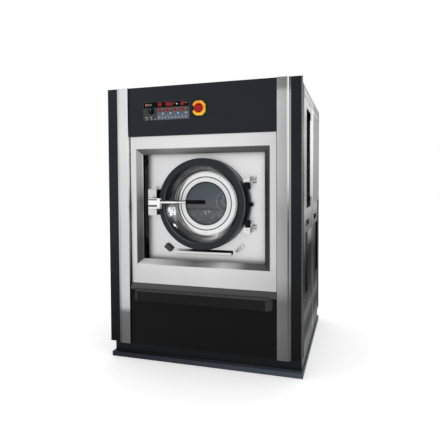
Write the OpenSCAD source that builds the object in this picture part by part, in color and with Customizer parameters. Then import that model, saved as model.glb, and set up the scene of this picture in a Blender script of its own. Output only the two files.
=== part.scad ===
// Industrial washer-extractor: steel cabinet, tub on springs, belt-driven drum and round front door.
// Millimetres. X runs right, Y runs to the rear, Z up. The origin is on the floor, mid width, mid depth.

/* [Cabinet] */
// Width over the dark corner panels
body_w = 1360; // [1330:1:1420]
// Height over the front panels
body_h = 1900; // [1880:1:1960]
// Depth from the corner panel faces to the back panel
body_d = 1316; // [1296:1:1380]
// How much lower the sides and top are than the front
side_drop = 34; // [20:1:50]
// Thickness of the cabinet sheet
sheet_t = 2.5; // [2:0.5:3]
// How far the door lever and the rear pipes stand out
reach = 56; // [54:1:70]
// Gap between pieces that sit against each other
seat = 0.3; // [0.2:0.05:0.4]
// Radial running clearance of pins and shafts
run = 0.05; // [0.03:0.01:0.09]

/* [Base frame] */
// Height of the plinth
base_h = 115; // [100:1:130]
// Height of the floor rail under the plinth
skid_h = 33; // [25:1:45]
// Distance of the floor rail behind the front face
skid_set = 15; // [8:1:25]
// Distance of the plinth behind the front face
plinth_set = 50; // [40:1:60]
// Distance of the floor rail before the back face
rear_set = 30; // [20:1:45]
// Inset of the plinth at each side
plinth_in = 10; // [6:1:16]
// Width of the floor flange
flange_w = 95; // [85:1:110]
// Plate thickness of the floor flange
flange_t = 8; // [6:1:10]
// Wall of the plinth and the angle posts
plinth_t = 6; // [5:0.5:8]
// Leg of the angle posts and rails
angle_w = 60; // [50:1:70]
// Radius of an anchor hole
anchor_r = 9; // [7:0.5:11]
// Anchor hole distance in from the side
anchor_in = 58; // [52:1:64]
// Width of a cross beam under the springs
beam_w = 140; // [135:1:160]
// Height of a cross beam
beam_h = 70; // [60:1:80]

/* [Side panels] */
// Thickness of the service covers
cover_t = 2.7; // [2:0.1:4]
// Depth position of the tall window
window_y = 250; // [230:1:270]
// Width of the tall window
window_w = 290; // [260:1:300]
// Distance of the tall window's top under the top of the side
window_drop = 121; // [100:1:130]
// Height of the tall window
window_h = 677; // [630:1:700]
// Width of the window strip that its cover leaves open
window_open = 226; // [190:1:240]
// Height of the small ports
port_h = 41; // [34:1:60]
// Height of the lower slots
slot_h = 414; // [380:1:430]
// Width of the raised centre strip
strip_w = 88; // [70:1:94]

/* [Front panels] */
// Width of a dark corner panel
corner_w = 73; // [60:1:84]
// Width of a steel trim
trim_w = 87; // [80:1:100]
// How far a trim stands proud
trim_out = 11; // [8:1:14]
// Width of the bevel on a trim's outer edge
trim_bevel = 27; // [15:1:30]
// Height of the control fascia
fascia_h = 333; // [320:1:350]
// Distance of the steel front panel behind the fascia
panel_set = 14; // [10:1:18]
// Gap beside the steel front panel
panel_gap = 7; // [4:1:10]
// Height of the lower panel's upright face
lower_z = 507; // [490:1:512]
// Height of the sloped strip over the lower panel
slope_h = 36; // [28:1:42]
// Depth of the sloped strip
slope_d = 18; // [16:1:26]
// Height of the pull bar
bar_h = 82; // [70:1:90]
// Depth of the pull bar
bar_d = 38; // [30:1:44]
// Gap between the bar and the sloped strip
bar_gap = 4; // [3:1:10]
// Inset of the pull bar at each end
bar_in = 29; // [22:1:40]
// Wall of the pull bar
bar_t = 3; // [2:0.5:4]

/* [Bezel] */
// Outer width of the bezel
bezel_w = 942; // [936:1:960]
// Outer height of the bezel
bezel_h = 804; // [790:1:820]
// Height of the bezel's centre
bezel_z = 1078; // [1067:1:1087]
// Width of the sloped band
bezel_band = 38; // [30:1:44]
// Depth of the sloped band
bezel_deep = 30; // [22:1:38]
// Flat rim round the band
bezel_rim = 5; // [4:0.5:7]
// Wall of the bezel
bezel_t = 2; // [1.5:0.1:3]

/* [Controls] */
// Left edge of the control overlay
overlay_x = -404; // [-425:1:-400]
// Width of the control overlay
overlay_w = 337; // [330:1:345]
// Bottom of the control overlay under the top edge
overlay_drop = 228; // [215:1:235]
// Height of the control overlay
overlay_h = 125; // [120:1:135]
// Thickness of the overlay
overlay_t = 1.5; // [1:0.1:2]
// Radius of the program knob
knob_r = 22; // [18:0.5:24]
// Length of the program knob
knob_l = 22; // [16:0.5:30]
// Radius of the knob spindle
spindle_r = 3; // [2.5:0.1:4]
// Width of a display window
window_led = 30; // [26:0.5:32]
// Height of a display window
led_h = 27; // [23:0.5:29]
// Width of a key
key_w = 20; // [16:0.5:24]
// Height of a key
key_h = 13; // [10:0.5:15]
// Travel of a key
key_travel = 1; // [0.6:0.1:1.2]
// X of the stop button's middle
collar_x = 7; // [0:1:20]
// Half width of the stop button's collar
collar_w = 41; // [40:1:48]
// Half height of the stop button's collar
collar_h = 47; // [44:1:54]
// Depth of the collar
collar_d = 22; // [18:1:26]
// Radius of the stop button's head
stop_r = 25; // [22:0.5:26]
// Travel of the stop button
stop_travel = 5; // [3:0.5:6]

/* [Door] */
// Height of the drum and door axis
axis_z = 1100; // [1090:1:1110]
// Depth of the tub's front plate
plate_y = 150; // [146:1:156]
// Outer radius of the door ring
ring_r = 310; // [300:1:316]
// Depth of the door ring's face
ring_y = 20; // [16:1:26]
// Width of the door ring's face
ring_w = 45; // [38:1:50]
// Wall of the door ring
ring_t = 7; // [5:0.5:9]
// Depth of the door ring's inner lip
ring_lip = 22; // [16:1:24]
// Radius of the steel bowl's floor
bowl_r = 224; // [218:1:230]
// Depth of the steel bowl
bowl_d = 94; // [86:1:96]
// Thickness of the bowl sheet
bowl_t = 2.5; // [2:0.1:3]
// Inner radius of the glass clamp ring
glass_r = 151; // [144:1:154]
// Thickness of the clamp ring
clamp_t = 8; // [6:0.5:10]
// Radius of the groove in the clamp ring
groove_r = 184.5; // [178:0.5:190]
// Thickness of the door glass
glass_t = 9; // [8:0.5:10]
// X of the door's hinge axis
hinge_x = 322; // [320:1:328]
// Depth of the door's hinge axis
hinge_y = 28; // [26:1:32]
// Height of the hinge brackets from the door axis
hinge_dz = 166; // [160:1:172]
// Radius of a hinge pin
pin_r = 8; // [6:0.5:9]
// Width of a hinge bracket
bracket_w = 45; // [42:1:50]
// Height of a hinge bracket
bracket_h = 37; // [32:1:42]
// Thickness of the door yoke
yoke_t = 20; // [16:1:22]
// Width of the door yoke
yoke_w = 60; // [50:1:66]

/* [Door lever] */
// Height of the lever over the door axis
lever_dz = 18; // [12:1:24]
// X of the lever's pivot
lever_x = -335; // [-338:1:-333]
// Distance of the lever's pivot before the front face
lever_out = 24; // [22:1:26]
// Radius of the lever's knuckle
knuckle_r = 28; // [26:1:30]
// Height of the lever's knuckle
knuckle_h = 58; // [52:1:64]
// Thickness of the door's latch tongue
tongue_t = 14; // [12:1:16]
// Root radius of the lever's rod
rod_r = 14; // [12:0.5:14]
// Tip radius of the lever's rod
rod_tip = 9.5; // [8:0.5:10]
// Length of the lever's rod
rod_l = 200; // [190:1:210]
// Radius of the grip
grip_r = 13.5; // [12:0.5:14]
// Length of the grip
grip_l = 134; // [120:1:140]
// Radius of the lock bolt
bolt_r = 7; // [6:0.5:7.5]
// Travel of the lock bolt
bolt_travel = 20; // [19:0.5:21]

/* [Tub and drum] */
// Half width of the tub's front plate
plate_w = 445; // [438:1:450]
// Outer radius of the tub
tub_r = 560; // [550:1:565]
// Wall of the tub
tub_t = 5; // [4:0.5:6]
// Depth of the tub's front head
tub_y = 215; // [212:1:222]
// Length of the tub
tub_l = 670; // [660:1:690]
// Inner radius of the tub's mouth
mouth_r = 262; // [259:1:265]
// Outer radius of the drum
drum_r = 500; // [490:1:504]
// Wall of the drum
drum_t = 4; // [3:0.5:5]
// Depth of the drum
drum_l = 620; // [600:1:624]
// Radius of the drum's mouth
drum_mouth = 250; // [240:1:254]
// Height of a lifter rib
lifter_h = 105; // [80:1:120]
// Width of a lifter rib at its foot
lifter_w = 130; // [110:1:150]
// Radius of the drum shaft
shaft_r = 50; // [45:0.5:52]
// Radius of the drum pulley
pulley_r = 255; // [245:1:262]
// Width of both pulleys
pulley_w = 60; // [54:1:64]
// Distance of the pulleys' front side before the back face
pulley_gap = 181; // [171:1:186]
// Radius of the motor pulley
pinion_r = 60; // [54:0.5:64]
// X of the motor
motor_x = 350; // [345:1:360]
// Height of the motor
motor_z = 488; // [480:1:492]
// Radius of the motor body
motor_r = 108; // [100:1:110]
// Length of the motor body
motor_l = 330; // [300:1:340]
// Thickness of the belt
belt_t = 8; // [6:0.5:9]
// Radius of the bearing housing's tube
housing_r = 112; // [108:1:120]

/* [Suspension] */
// Height of the cradle's underside
cradle_z = 300; // [296:1:310]
// Height of a cradle beam
cradle_h = 60; // [50:1:64]
// X of the springs
spring_x = 480; // [470:1:490]
// Depth of the front springs
spring_front = 300; // [290:1:320]
// Depth of the rear springs
spring_rear = 850; // [830:1:860]
// Mean radius of a spring
spring_r = 50; // [44:1:52]
// Radius of the spring wire
wire_r = 8; // [7:0.5:9]
// Turns of a spring
spring_turns = 5; // [4:1:5]
// X of the dampers
damper_x = 390; // [380:1:395]
// Radius of a damper body
damper_r = 24; // [20:1:26]
// Radius of a damper rod
damper_rod = 8; // [6:0.5:9]

/* [Water] */
// Outer radius of the rear drain pipe
drain_r = 45; // [40:0.5:48]
// Wall of the drain pipe
drain_t = 3; // [2:0.5:4]
// Height of the drain pipe
drain_z = 190; // [180:1:196]
// Depth of the drain valve
drain_y = 560; // [540:1:580]
// Outer radius of an inlet spigot
inlet_r = 13.2; // [12:0.1:15]
// Bore radius of an inlet spigot
inlet_bore = 8; // [7:0.5:9]
// X of the inlet manifold's middle
inlet_x = -260; // [-280:1:-240]
// Spacing of the inlet spigots
inlet_step = 90; // [80:1:100]
// Distance of the inlet manifold under the top of the side
inlet_drop = 126; // [116:1:131]
// Radius of the cable gland's bore
gland_r = 12; // [10:0.5:14]

/* [Hidden] */
$fn = 96;
// Overlap that makes two solids of one piece merge, or a cut run past a face
lap = 1;
half_w = body_w / 2;
side_top = body_h - side_drop;
window_z = side_top - window_drop - window_h;
inlet_z = side_top - inlet_drop;
gland_x = 420;
gland_z = side_top - 216;
pulley_y = body_d - pulley_gap;
side_x = half_w - cover_t - seat;
post_x = side_x - sheet_t - seat;
rail_top = side_top - sheet_t - seat;
trim_x1 = half_w - corner_w - seat;
trim_x0 = trim_x1 - trim_w;
fascia_x = trim_x0 - seat;
fascia_z = body_h - fascia_h;
panel_x = trim_x0 - panel_gap;
panel_z0 = lower_z + slope_h + 2;
rail_z0 = panel_z0 + 40;
post_y = plinth_set + 12;
upright_y = post_y - 12;
back_y = body_d - sheet_t;
rear_post_y = back_y - seat;
plinth_rear = 2 * rear_set;
frame_slack = 40;
sleeve_x = bezel_w / 2 + 4;
sleeve_z0 = bezel_z - bezel_h / 2 - 32;
sleeve_z1 = bezel_z + bezel_h / 2 + 32;
overlay_z = body_h - overlay_drop;
band_h = 35;
led_z = overlay_z + overlay_h - 20;
led_step = 55.5;
led_x = overlay_x + 123.5;
knob_x = overlay_x + 63;
knob_z = overlay_z + 62;
key_z = overlay_z + 20;
key_front = 4;
key_back = 1.7;
stem_r = 2;
stem_l = 9;
collar_z = body_h - 165;
stop_stem = 11;
ring_in = ring_r - ring_w;
ring_back = plate_y - 5;
bowl_y = ring_y + ring_lip + seat;
bowl_floor = bowl_y + bowl_d;
bowl_lip = ring_in - 3;
glass_y = bowl_floor + bowl_t + seat;
lever_z = axis_z + lever_dz;
bolt_x = -334;
bolt_y = 60;
bolt_rest = 4;
tongue_left = -349;
latch_left = -380;
latch_right = -323;
latch_y = 12;
latch_t = 4;
latch_z0 = axis_z - 78;
latch_z1 = axis_z + 101;
lock_z0 = axis_z + 40;
lock_z1 = axis_z + 97;
rod_out = 40;
rod_x = lever_x + 45;
shell_y = plate_y + 3;
tub_back = tub_y + tub_l;
drum_y = tub_y + tub_t + 10;
drum_back = drum_y + drum_l;
spider_y = drum_back + seat;
hub_y = tub_back + seat;
hub_end = pulley_y - 30;
neck_x = 0;
neck_r = 52;
spring_z0 = base_h;
spring_z1 = cradle_z;
spring_seat_t = 4;
tub_bottom = axis_z - tub_r;
nozzle_x = -200;
nozzle_y = 700;
nozzle_r = 20;
funnel_r = 60;
funnel_z = axis_z + sqrt(tub_r * tub_r - nozzle_x * nozzle_x) - 12;
funnel_h = 90;
rear_end = body_d + reach;
slot_y = body_d - 391;
strip_y = window_y + 375;
slot_top = window_z - 159;
screw_z = side_top - 75;

// Places what is drawn with its depth measured from the front face
module from_front() {
    translate([0, -body_d / 2, 0]) children();
}

// A box between two corners
module block(x0, x1, y0, y1, z0, z1) {
    translate([x0, y0, z0]) cube([x1 - x0, y1 - y0, z1 - z0]);
}

// A copy on each side of the middle
module both_sides() {
    children();
    mirror([1, 0, 0]) children();
}

// A solid disc about an axis that runs to the rear
module disc(r, x, y0, y1, z) {
    translate([x, y0, z]) rotate([-90, 0, 0]) cylinder(r = r, h = y1 - y0);
}

// A disc about an axis that runs to the right
module disc_x(r, x0, x1, y, z) {
    translate([x0, y, z]) rotate([0, 90, 0]) cylinder(r = r, h = x1 - x0);
}

// An upright round bar
module rod(r, x, y, z0, z1) {
    translate([x, y, z0]) cylinder(r = r, h = z1 - z0);
}

// A turned piece about the drum axis, from points of radius and depth
module turned(points) {
    translate([0, 0, axis_z]) rotate([-90, 0, 0]) rotate_extrude() polygon(points);
}

// A shape drawn in X and depth, raised from z0 to z1
module raised(points, z0, z1) {
    translate([0, 0, z0]) linear_extrude(z1 - z0) polygon(points);
}

// A shape drawn in depth and height, run along X from x0 to x1
module run_x(points, x0, x1) {
    translate([x0, 0, 0]) rotate([90, 0, 90]) linear_extrude(x1 - x0) polygon(points);
}

// Angle post whose corner is at the outer rear edge, drawn for the right side
module angle_post(y0, y1, corner_front) {
    difference() {
        block(post_x - angle_w, post_x, y0, y1, base_h - lap, rail_top);
        block(post_x - angle_w - lap, post_x - plinth_t,
            corner_front ? y0 + plinth_t : y0 - lap,
            corner_front ? y1 + lap : y1 - plinth_t, base_h - 2 * lap, rail_top + lap);
    }
}

module main_frame() {
    color("#22252c") from_front() difference() {
        union() {
            difference() {
                block(-half_w, half_w, skid_set, body_d - rear_set, 0, skid_h);
                block(-half_w + plinth_in + plinth_t, half_w - plinth_in - plinth_t,
                    plinth_set + plinth_t, body_d - plinth_rear - plinth_t, flange_t, skid_h + lap);
                block(-half_w + flange_w, half_w - flange_w, skid_set + flange_w,
                    body_d - rear_set - flange_w, -lap, skid_h + lap);
            }
            difference() {
                block(-half_w + plinth_in, half_w - plinth_in, plinth_set, body_d - plinth_rear,
                    skid_h - lap, base_h);
                block(-half_w + plinth_in + plinth_t, half_w - plinth_in - plinth_t,
                    plinth_set + plinth_t, body_d - plinth_rear - plinth_t,
                    skid_h - 2 * lap, base_h - plinth_t);
                block(-half_w + flange_w, half_w - flange_w, plinth_set + angle_w + frame_slack,
                    body_d - plinth_rear - angle_w - frame_slack, skid_h, base_h + lap);
            }
            for (y = [spring_front, spring_rear]) difference() {
                block(-half_w + plinth_in + lap, half_w - plinth_in - lap,
                    y - beam_w / 2, y + beam_w / 2, base_h - beam_h, base_h);
                block(-half_w, half_w, y - beam_w / 2 + plinth_t, y + beam_w / 2 - plinth_t,
                    base_h - beam_h - lap, base_h - plinth_t);
            }
            both_sides() {
                angle_post(post_y, post_y + angle_w, true);
                angle_post(rear_post_y - angle_w, rear_post_y, false);
                difference() {
                    block(post_x - angle_w, post_x, post_y, rear_post_y, rail_top - angle_w, rail_top);
                    block(post_x - angle_w - lap, post_x - plinth_t, post_y - lap, rear_post_y + lap,
                        rail_top - angle_w - lap, rail_top - plinth_t);
                }
            }
            for (y = [post_y, rear_post_y - angle_w]) difference() {
                block(-post_x + lap, post_x - lap, y, y + angle_w, rail_top - angle_w, rail_top);
                block(-post_x, post_x, y + plinth_t, y + angle_w - plinth_t,
                    rail_top - angle_w - lap, rail_top - plinth_t);
            }
            block(-post_x + lap, post_x - lap, post_y, post_y + plinth_t, rail_z0, rail_z0 + 50);
            both_sides() block(fascia_x - 48, fascia_x + 40, upright_y, post_y + lap,
                base_h - lap, rail_top);
            block(-fascia_x, fascia_x, upright_y, post_y + lap, rail_z0 + 5, sleeve_z0 + 4);
            block(-fascia_x, fascia_x, upright_y, post_y + lap, sleeve_z1 - 4, sleeve_z1 + 70);
            difference() {
                block(-sleeve_x, sleeve_x, upright_y, plate_y - 10, sleeve_z0, sleeve_z1);
                block(-sleeve_x + 4, sleeve_x - 4, upright_y - lap, plate_y, sleeve_z0 + 4, sleeve_z1 - 4);
            }
        }
        for (x = [-1, 1]) for (y = [skid_set + anchor_in + 14, body_d - rear_set - anchor_in - 14])
            rod(anchor_r, x * (half_w - anchor_in), y, -lap, flange_t + lap);
        disc(drain_r + 6, 0, body_d - plinth_rear - 20, body_d, drain_z);
    }
}

// The right side sheet, with its folded edges, window, ports and slots
module side_sheet() {
    difference() {
        union() {
            translate([side_x - sheet_t, 0, 0]) rotate([90, 0, 90]) linear_extrude(sheet_t)
                polygon([[sheet_t + seat, base_h + 2], [body_d, base_h + 2], [body_d, side_top],
                    [46, side_top], [sheet_t + seat, body_h]]);
            block(side_x - 28, side_x - lap, sheet_t + seat, 2 * sheet_t + seat,
                base_h + 2, side_top);
            block(side_x - 18, side_x - lap, post_y + angle_w + lap, rear_post_y - angle_w - lap,
                base_h + 2, base_h + 2 + sheet_t);
        }
        block(side_x - 2 * sheet_t, side_x + lap, window_y, window_y + window_w,
            window_z, window_z + window_h);
        for (y = [[window_y - 26, window_y + 199], [body_d - 511, body_d - 296]])
            block(side_x - 2 * sheet_t, side_x + lap, y[0], y[1], window_z - 80 - port_h,
                window_z - 80);
        for (y = [[window_y - 71, window_y + 60], [slot_y, slot_y + 240]])
            block(side_x - 2 * sheet_t, side_x + lap, y[0], y[1], slot_top - slot_h, slot_top);
    }
}

module left_side_panel() {
    color("#b9bcbe") from_front() mirror([1, 0, 0]) side_sheet();
}

module right_side_panel() {
    color("#b9bcbe") from_front() side_sheet();
}

// One service cover on the right side, with cut corners
module cover_plate(y0, y1, z0, z1, cut) {
    translate([side_x + seat, 0, 0]) rotate([90, 0, 90]) linear_extrude(cover_t)
        polygon([[y0, z0 + cut], [y0 + cut, z0], [y1 - cut, z0], [y1, z0 + cut],
            [y1, z1 - cut], [y1 - cut, z1], [y0 + cut, z1], [y0, z1 - cut]]);
}

module side_covers() {
    color("#c6c9cb") from_front() both_sides() {
        cover_plate(window_y + window_open, strip_y - 6, window_z + 70, window_z + window_h - 52, 20);
        cover_plate(strip_y, strip_y + strip_w, base_h + 20, side_top - 64, 4);
        cover_plate(90, body_d - 26, side_top - 56, side_top - 16, 3);
        cover_plate(strip_y + strip_w + 50, body_d - 60, window_z + 20, side_top - 91, 8);
        cover_plate(window_y + 65, strip_y - 6, slot_top - slot_h, slot_top, 8);
        cover_plate(strip_y + strip_w + 10, slot_y - 10, slot_top - slot_h, slot_top, 8);
    }
}

// The dark front corner, right side
module corner_sheet() {
    block(trim_x1 + seat, half_w, 0, sheet_t, base_h + 2, body_h);
    block(trim_x1 + seat, trim_x1 + seat + sheet_t, 0, post_y - seat, base_h + 2, body_h);
    block(trim_x1 + seat, side_x - 30, 0, post_y - seat, body_h - sheet_t, body_h);
    block(trim_x1 + seat, side_x - 30, post_y - seat - sheet_t, post_y - seat, base_h + 2, body_h);
    block(half_w - cover_t, half_w, 0, sheet_t + seat, base_h + 2, body_h);
}

module left_corner_panel() {
    color("#2b2f31") from_front() mirror([1, 0, 0]) corner_sheet();
}

module right_corner_panel() {
    color("#2b2f31") from_front() corner_sheet();
}

// The folded steel trim, right side: face, bevel on the outer edge and a return on each edge
module trim_sheet() {
    t = 2;
    raised([[trim_x1, 6], [trim_x1, 0], [trim_x1 - trim_bevel, -trim_out], [trim_x0, -trim_out],
        [trim_x0, upright_y - seat], [trim_x0 + t, upright_y - seat], [trim_x0 + t, t - trim_out],
        [trim_x1 - trim_bevel - 0.4, t - trim_out], [trim_x1 - t, 1], [trim_x1 - t, 6]],
        base_h - 2, body_h);
}

module left_trim() {
    color("#cfd1d2") from_front() mirror([1, 0, 0]) trim_sheet();
}

module right_trim() {
    color("#cfd1d2") from_front() trim_sheet();
}

module control_fascia() {
    color("#2b2f31") from_front() difference() {
        union() {
            block(-fascia_x, fascia_x, 0, sheet_t, fascia_z, body_h);
            block(-fascia_x, fascia_x, 0, post_y - 4, body_h - sheet_t, body_h);
            block(-fascia_x, fascia_x, 0, panel_set - bezel_t - 2 * seat, fascia_z,
                fascia_z + sheet_t);
            both_sides() block(fascia_x - sheet_t, fascia_x, 0, upright_y - seat, fascia_z,
                body_h);
        }
        disc(spindle_r + run, knob_x, -lap, sheet_t + lap, knob_z);
        disc(stop_stem + run, collar_x, -lap, sheet_t + lap, collar_z);
        for (i = [0, 1]) disc(stem_r + run, key_x(i), -lap, sheet_t + lap, key_z);
    }
}

// X of the first and second key
function key_x(i) = overlay_x + 25 + 34 * i;

module front_panel() {
    color("#dcddde") from_front() difference() {
        union() {
            block(-panel_x, panel_x, panel_set, panel_set + sheet_t, panel_z0, fascia_z - 2);
            both_sides()
                block(panel_x - sheet_t, panel_x, panel_set, upright_y - seat, panel_z0, fascia_z - 2);
            block(-panel_x, panel_x, panel_set, upright_y - seat, fascia_z - 2 - sheet_t,
                fascia_z - 2);
        }
        front_hole(bezel_rim - 2, panel_set - lap, panel_set + sheet_t + lap);
        block(sheet_t - panel_x, panel_x - sheet_t, panel_set + sheet_t, upright_y,
            bezel_z - bezel_h / 2, bezel_z + bezel_h / 2 + seat);
    }
}

// A rectangle of the bezel's size less an inset, between two depths
module front_hole(inset, y0, y1) {
    block(-bezel_w / 2 + inset, bezel_w / 2 - inset, y0, y1,
        bezel_z - bezel_h / 2 + inset, bezel_z + bezel_h / 2 - inset);
}

// The mitred frame: one section carried round the four corners
module bezel_frame() {
    face = panel_set - seat;
    back = face + bezel_deep;
    section = [[face - bezel_t, 0], [face - bezel_t, bezel_rim], [back, bezel_band],
        [back, bezel_band - 1.45 * bezel_t], [face, bezel_rim], [face, 0]];
    n = len(section);
    points = [for (c = [[1, 1], [-1, 1], [-1, -1], [1, -1]]) for (p = section)
        [c[0] * (bezel_w / 2 - p[1]), p[0], bezel_z + c[1] * (bezel_h / 2 - p[1])]];
    sides = [for (i = [0 : 3]) for (k = [0 : n - 1])
        [i * n + k, i * n + (k + 1) % n, (i + 1) % 4 * n + (k + 1) % n, (i + 1) % 4 * n + k]];
    color("#6f7173") from_front() polyhedron(points, sides, convexity = 6);
}

module lower_panel() {
    top = lower_z + slope_h;
    color("#1c1e1f") from_front() {
        run_x([[0, base_h + 2], [0, lower_z], [slope_d, top], [upright_y - seat, top],
            [upright_y - seat, top - sheet_t], [slope_d + 1.4, top - sheet_t],
            [sheet_t, lower_z - 0.6], [sheet_t, base_h + 2 + sheet_t],
            [upright_y - seat, base_h + 2 + sheet_t], [upright_y - seat, base_h + 2]],
            -fascia_x + 2, fascia_x - 2);
    }
}

module pull_bar() {
    x1 = fascia_x - bar_in;
    x0 = x1 - bar_d;
    z1 = lower_z - bar_gap + 6;
    z0 = z1 - bar_h;
    color("#242627") from_front() difference() {
        intersection() {
            raised([[-x1, -seat], [-x0, -bar_d], [x0, -bar_d], [x1, -seat]], z0, z1);
            run_x([[-seat, z0], [-bar_d + 4, z0], [-bar_d, z0 + 4], [-bar_d, z1 - 7],
                [-bar_d + 7, z1], [-seat, z1]], -x1, x1);
        }
        raised([[-x1 + 2 * bar_t, lap], [-x0 + bar_t, -bar_d + bar_t], [x0 - bar_t, -bar_d + bar_t],
            [x1 - 2 * bar_t, lap]], z0 + bar_t, z1 - 2 * bar_t);
    }
}

module top_cover() {
    x = side_x - sheet_t - seat;
    lid_y0 = 420;
    lid_y1 = body_d - 316;
    lid_h = 8;
    color("#b9bcbe") from_front() difference() {
        union() {
            block(-x, x, post_y, back_y - seat, side_top - sheet_t, side_top);
            for (lid = [[-x + 120, -40], [80, x - 120]])
                block(lid[0], lid[1], lid_y0, lid_y1, side_top - lap, side_top + lid_h);
        }
        for (lid = [[-x + 120, -40], [80, x - 120]])
            block(lid[0] + sheet_t, lid[1] - sheet_t, lid_y0 + sheet_t, lid_y1 - sheet_t,
                side_top - sheet_t - lap, side_top + lid_h - sheet_t);
        for (i = [0 : 5]) block(12 * i - 30, 12 * i - 24, lid_y1 + 80, lid_y1 + 200,
            side_top - 2 * sheet_t, side_top + lap);
    }
}

module back_panel() {
    x = side_x - sheet_t - seat;
    hatch_z0 = side_top - 1226;
    hatch_z1 = side_top - 306;
    color("#aeb1b3") from_front() difference() {
        union() {
            block(-x, x, back_y, body_d, base_h + 2, side_top);
            block(-x + 60, x - 60, back_y, body_d + 6, hatch_z0, hatch_z1);
        }
        block(-x + 63, x - 63, back_y - lap, body_d + 3, hatch_z0 + 3, hatch_z1 - 3);
        for (i = [0 : 9]) both_sides() block(150, 460, body_d, body_d + 7,
            hatch_z0 + 120 + 24 * i, hatch_z0 + 128 + 24 * i);
        for (i = [-1, 0, 1])
            disc(inlet_r + 1.5, inlet_x + inlet_step * i, back_y - lap, body_d + lap, inlet_z);
        disc(drain_r + 3, neck_x, back_y - lap, body_d + lap, drain_z);
        disc(gland_r + 4, gland_x, back_y - lap, body_d + lap, gland_z);
    }
}

// A round screw head that stands before the front face
module front_head(x, z, y, r) {
    disc(r, x, y - 2.4, y - 0.1, z);
}

// A screw head on the right side
module side_head(y, z) {
    disc_x(5, side_x + 0.1, side_x + cover_t + seat - 0.2, y, z);
}

module cabinet_screws() {
    color("#8d9092") from_front() {
        both_sides() {
            for (z = [fascia_z + 41, body_h - 19]) front_head(fascia_x - 11, z, 0, 4);
            for (z = [base_h + 73, base_h + 250]) front_head(fascia_x - 11, z, 0, 4);
            for (y = [110, body_d - 31]) for (z = [window_z - 587, window_z + 91, screw_z])
                side_head(y, z);
            for (y = [430, 900]) side_head(y, screw_z);
            side_head(window_y - 20, window_z + 91);
            for (d = [26, 266, 748, 1266]) disc(6, side_x - 30, body_d + 0.1, body_d + 7, side_top - d);
            for (d = [486, 1006, 1446]) disc(4.5, side_x - 30, body_d + 0.1, body_d + 3.5, side_top - d);
            for (y = [170, body_d / 2, body_d - 136])
                rod(5, side_x - 40, y, side_top + 0.1, side_top + 3.4);
        }
    }
}

module control_overlay() {
    color("#454c52") from_front() difference() {
        block(overlay_x, overlay_x + overlay_w, -seat - overlay_t, -seat,
            overlay_z, overlay_z + overlay_h);
        for (i = [0 : 3]) block(led_x + led_step * i - window_led / 2 - seat,
            led_x + led_step * i + window_led / 2 + seat, -5, lap,
            led_z - 40 - led_h / 2 - seat, led_z - 40 + led_h / 2 + seat);
        for (i = [0, 1, 2]) block(top_led(i) - top_led_w(i) / 2 - seat,
            top_led(i) + top_led_w(i) / 2 + seat, -5, lap,
            led_z - led_h / 2 - seat, led_z + led_h / 2 + seat);
        for (i = [0, 1]) block(key_x(i) - key_w / 2 - seat, key_x(i) + key_w / 2 + seat,
            -5, lap, key_z - key_h / 2 - seat, key_z + key_h / 2 + seat);
        disc(spindle_r + 1, knob_x, -5, lap, knob_z);
    }
}

// Middle and width of each display in the top row
function top_led(i) = led_x + [0, 69, 165][i];
function top_led_w(i) = i == 1 ? 1.95 * window_led : window_led;

module display_windows() {
    front = -seat - overlay_t - 0.7;
    color("#8f1214") from_front() {
        for (i = [0 : 3]) block(led_x + led_step * i - window_led / 2,
            led_x + led_step * i + window_led / 2, front, -seat,
            led_z - 40 - led_h / 2, led_z - 40 + led_h / 2);
        for (i = [0, 1, 2]) block(top_led(i) - top_led_w(i) / 2, top_led(i) + top_led_w(i) / 2,
            front, -seat, led_z - led_h / 2, led_z + led_h / 2);
    }
}

module program_knob() {
    front = -seat - overlay_t - 1;
    color("#1a1c1e") from_front() {
        difference() {
            translate([knob_x, front, knob_z]) rotate([90, 0, 0]) rotate_extrude()
                polygon([[0, 0], [knob_r, 0], [knob_r, 3], [knob_r - 3, 5], [knob_r - 4, knob_l - 3],
                    [knob_r - 7, knob_l], [0, knob_l]]);
            for (i = [0 : 11]) translate([knob_x, front - 6, knob_z]) rotate([90, 30 * i, 0])
                translate([knob_r - 2.2, 0, 0]) cylinder(r = 2, h = knob_l);
        }
        disc(spindle_r, knob_x, front - lap, 18, knob_z);
    }
}

// One key with its stem
module key(i) {
    from_front() {
        block(key_x(i) - key_w / 2, key_x(i) + key_w / 2, -key_front, -key_back,
            key_z - key_h / 2, key_z + key_h / 2);
        disc(stem_r, key_x(i), -key_back - 0.2, stem_l, key_z);
    }
}

module start_key() {
    color("#5f7a62") key(0);
}

module stop_key() {
    color("#8a5a58") key(1);
}

module stop_collar() {
    w = collar_w;
    h = collar_h;
    color("#f5ab12") from_front() difference() {
        translate([collar_x, -seat, collar_z]) rotate([90, 0, 0]) linear_extrude(collar_d)
            polygon([[-w + 12, h - 6], [-w + 24, h], [w - 22, h], [w, h - 22], [w, 22 - h],
                [w - 22, -h], [-w + 24, -h], [-w + 12, 6 - h], [-w, 20 - h], [-w, 30 - h],
                [-w + 9, 36 - h], [-w + 9, h - 36], [-w, h - 30], [-w, h - 20]]);
        disc(stop_r + 4, collar_x, -seat - collar_d - lap, -seat - 4, collar_z);
        disc(stop_stem + run, collar_x, -10, lap, collar_z);
        block(collar_x - w - lap, collar_x - w + 22, -collar_d - lap, -seat - 12, collar_z - 12,
            collar_z + 12);
    }
}

module stop_button() {
    color("#c31a1c") from_front() {
        translate([collar_x, -12, collar_z]) rotate([90, 0, 0]) rotate_extrude()
            polygon([[0, 0], [stop_r - 3, 0], [stop_r, 3], [stop_r, 9], [stop_r - 3, 13],
                [stop_r - 11, 16], [0, 17.5]]);
        disc(stop_stem, collar_x, -12 - lap, upright_y - 30 - stop_travel, collar_z);
    }
}

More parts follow.
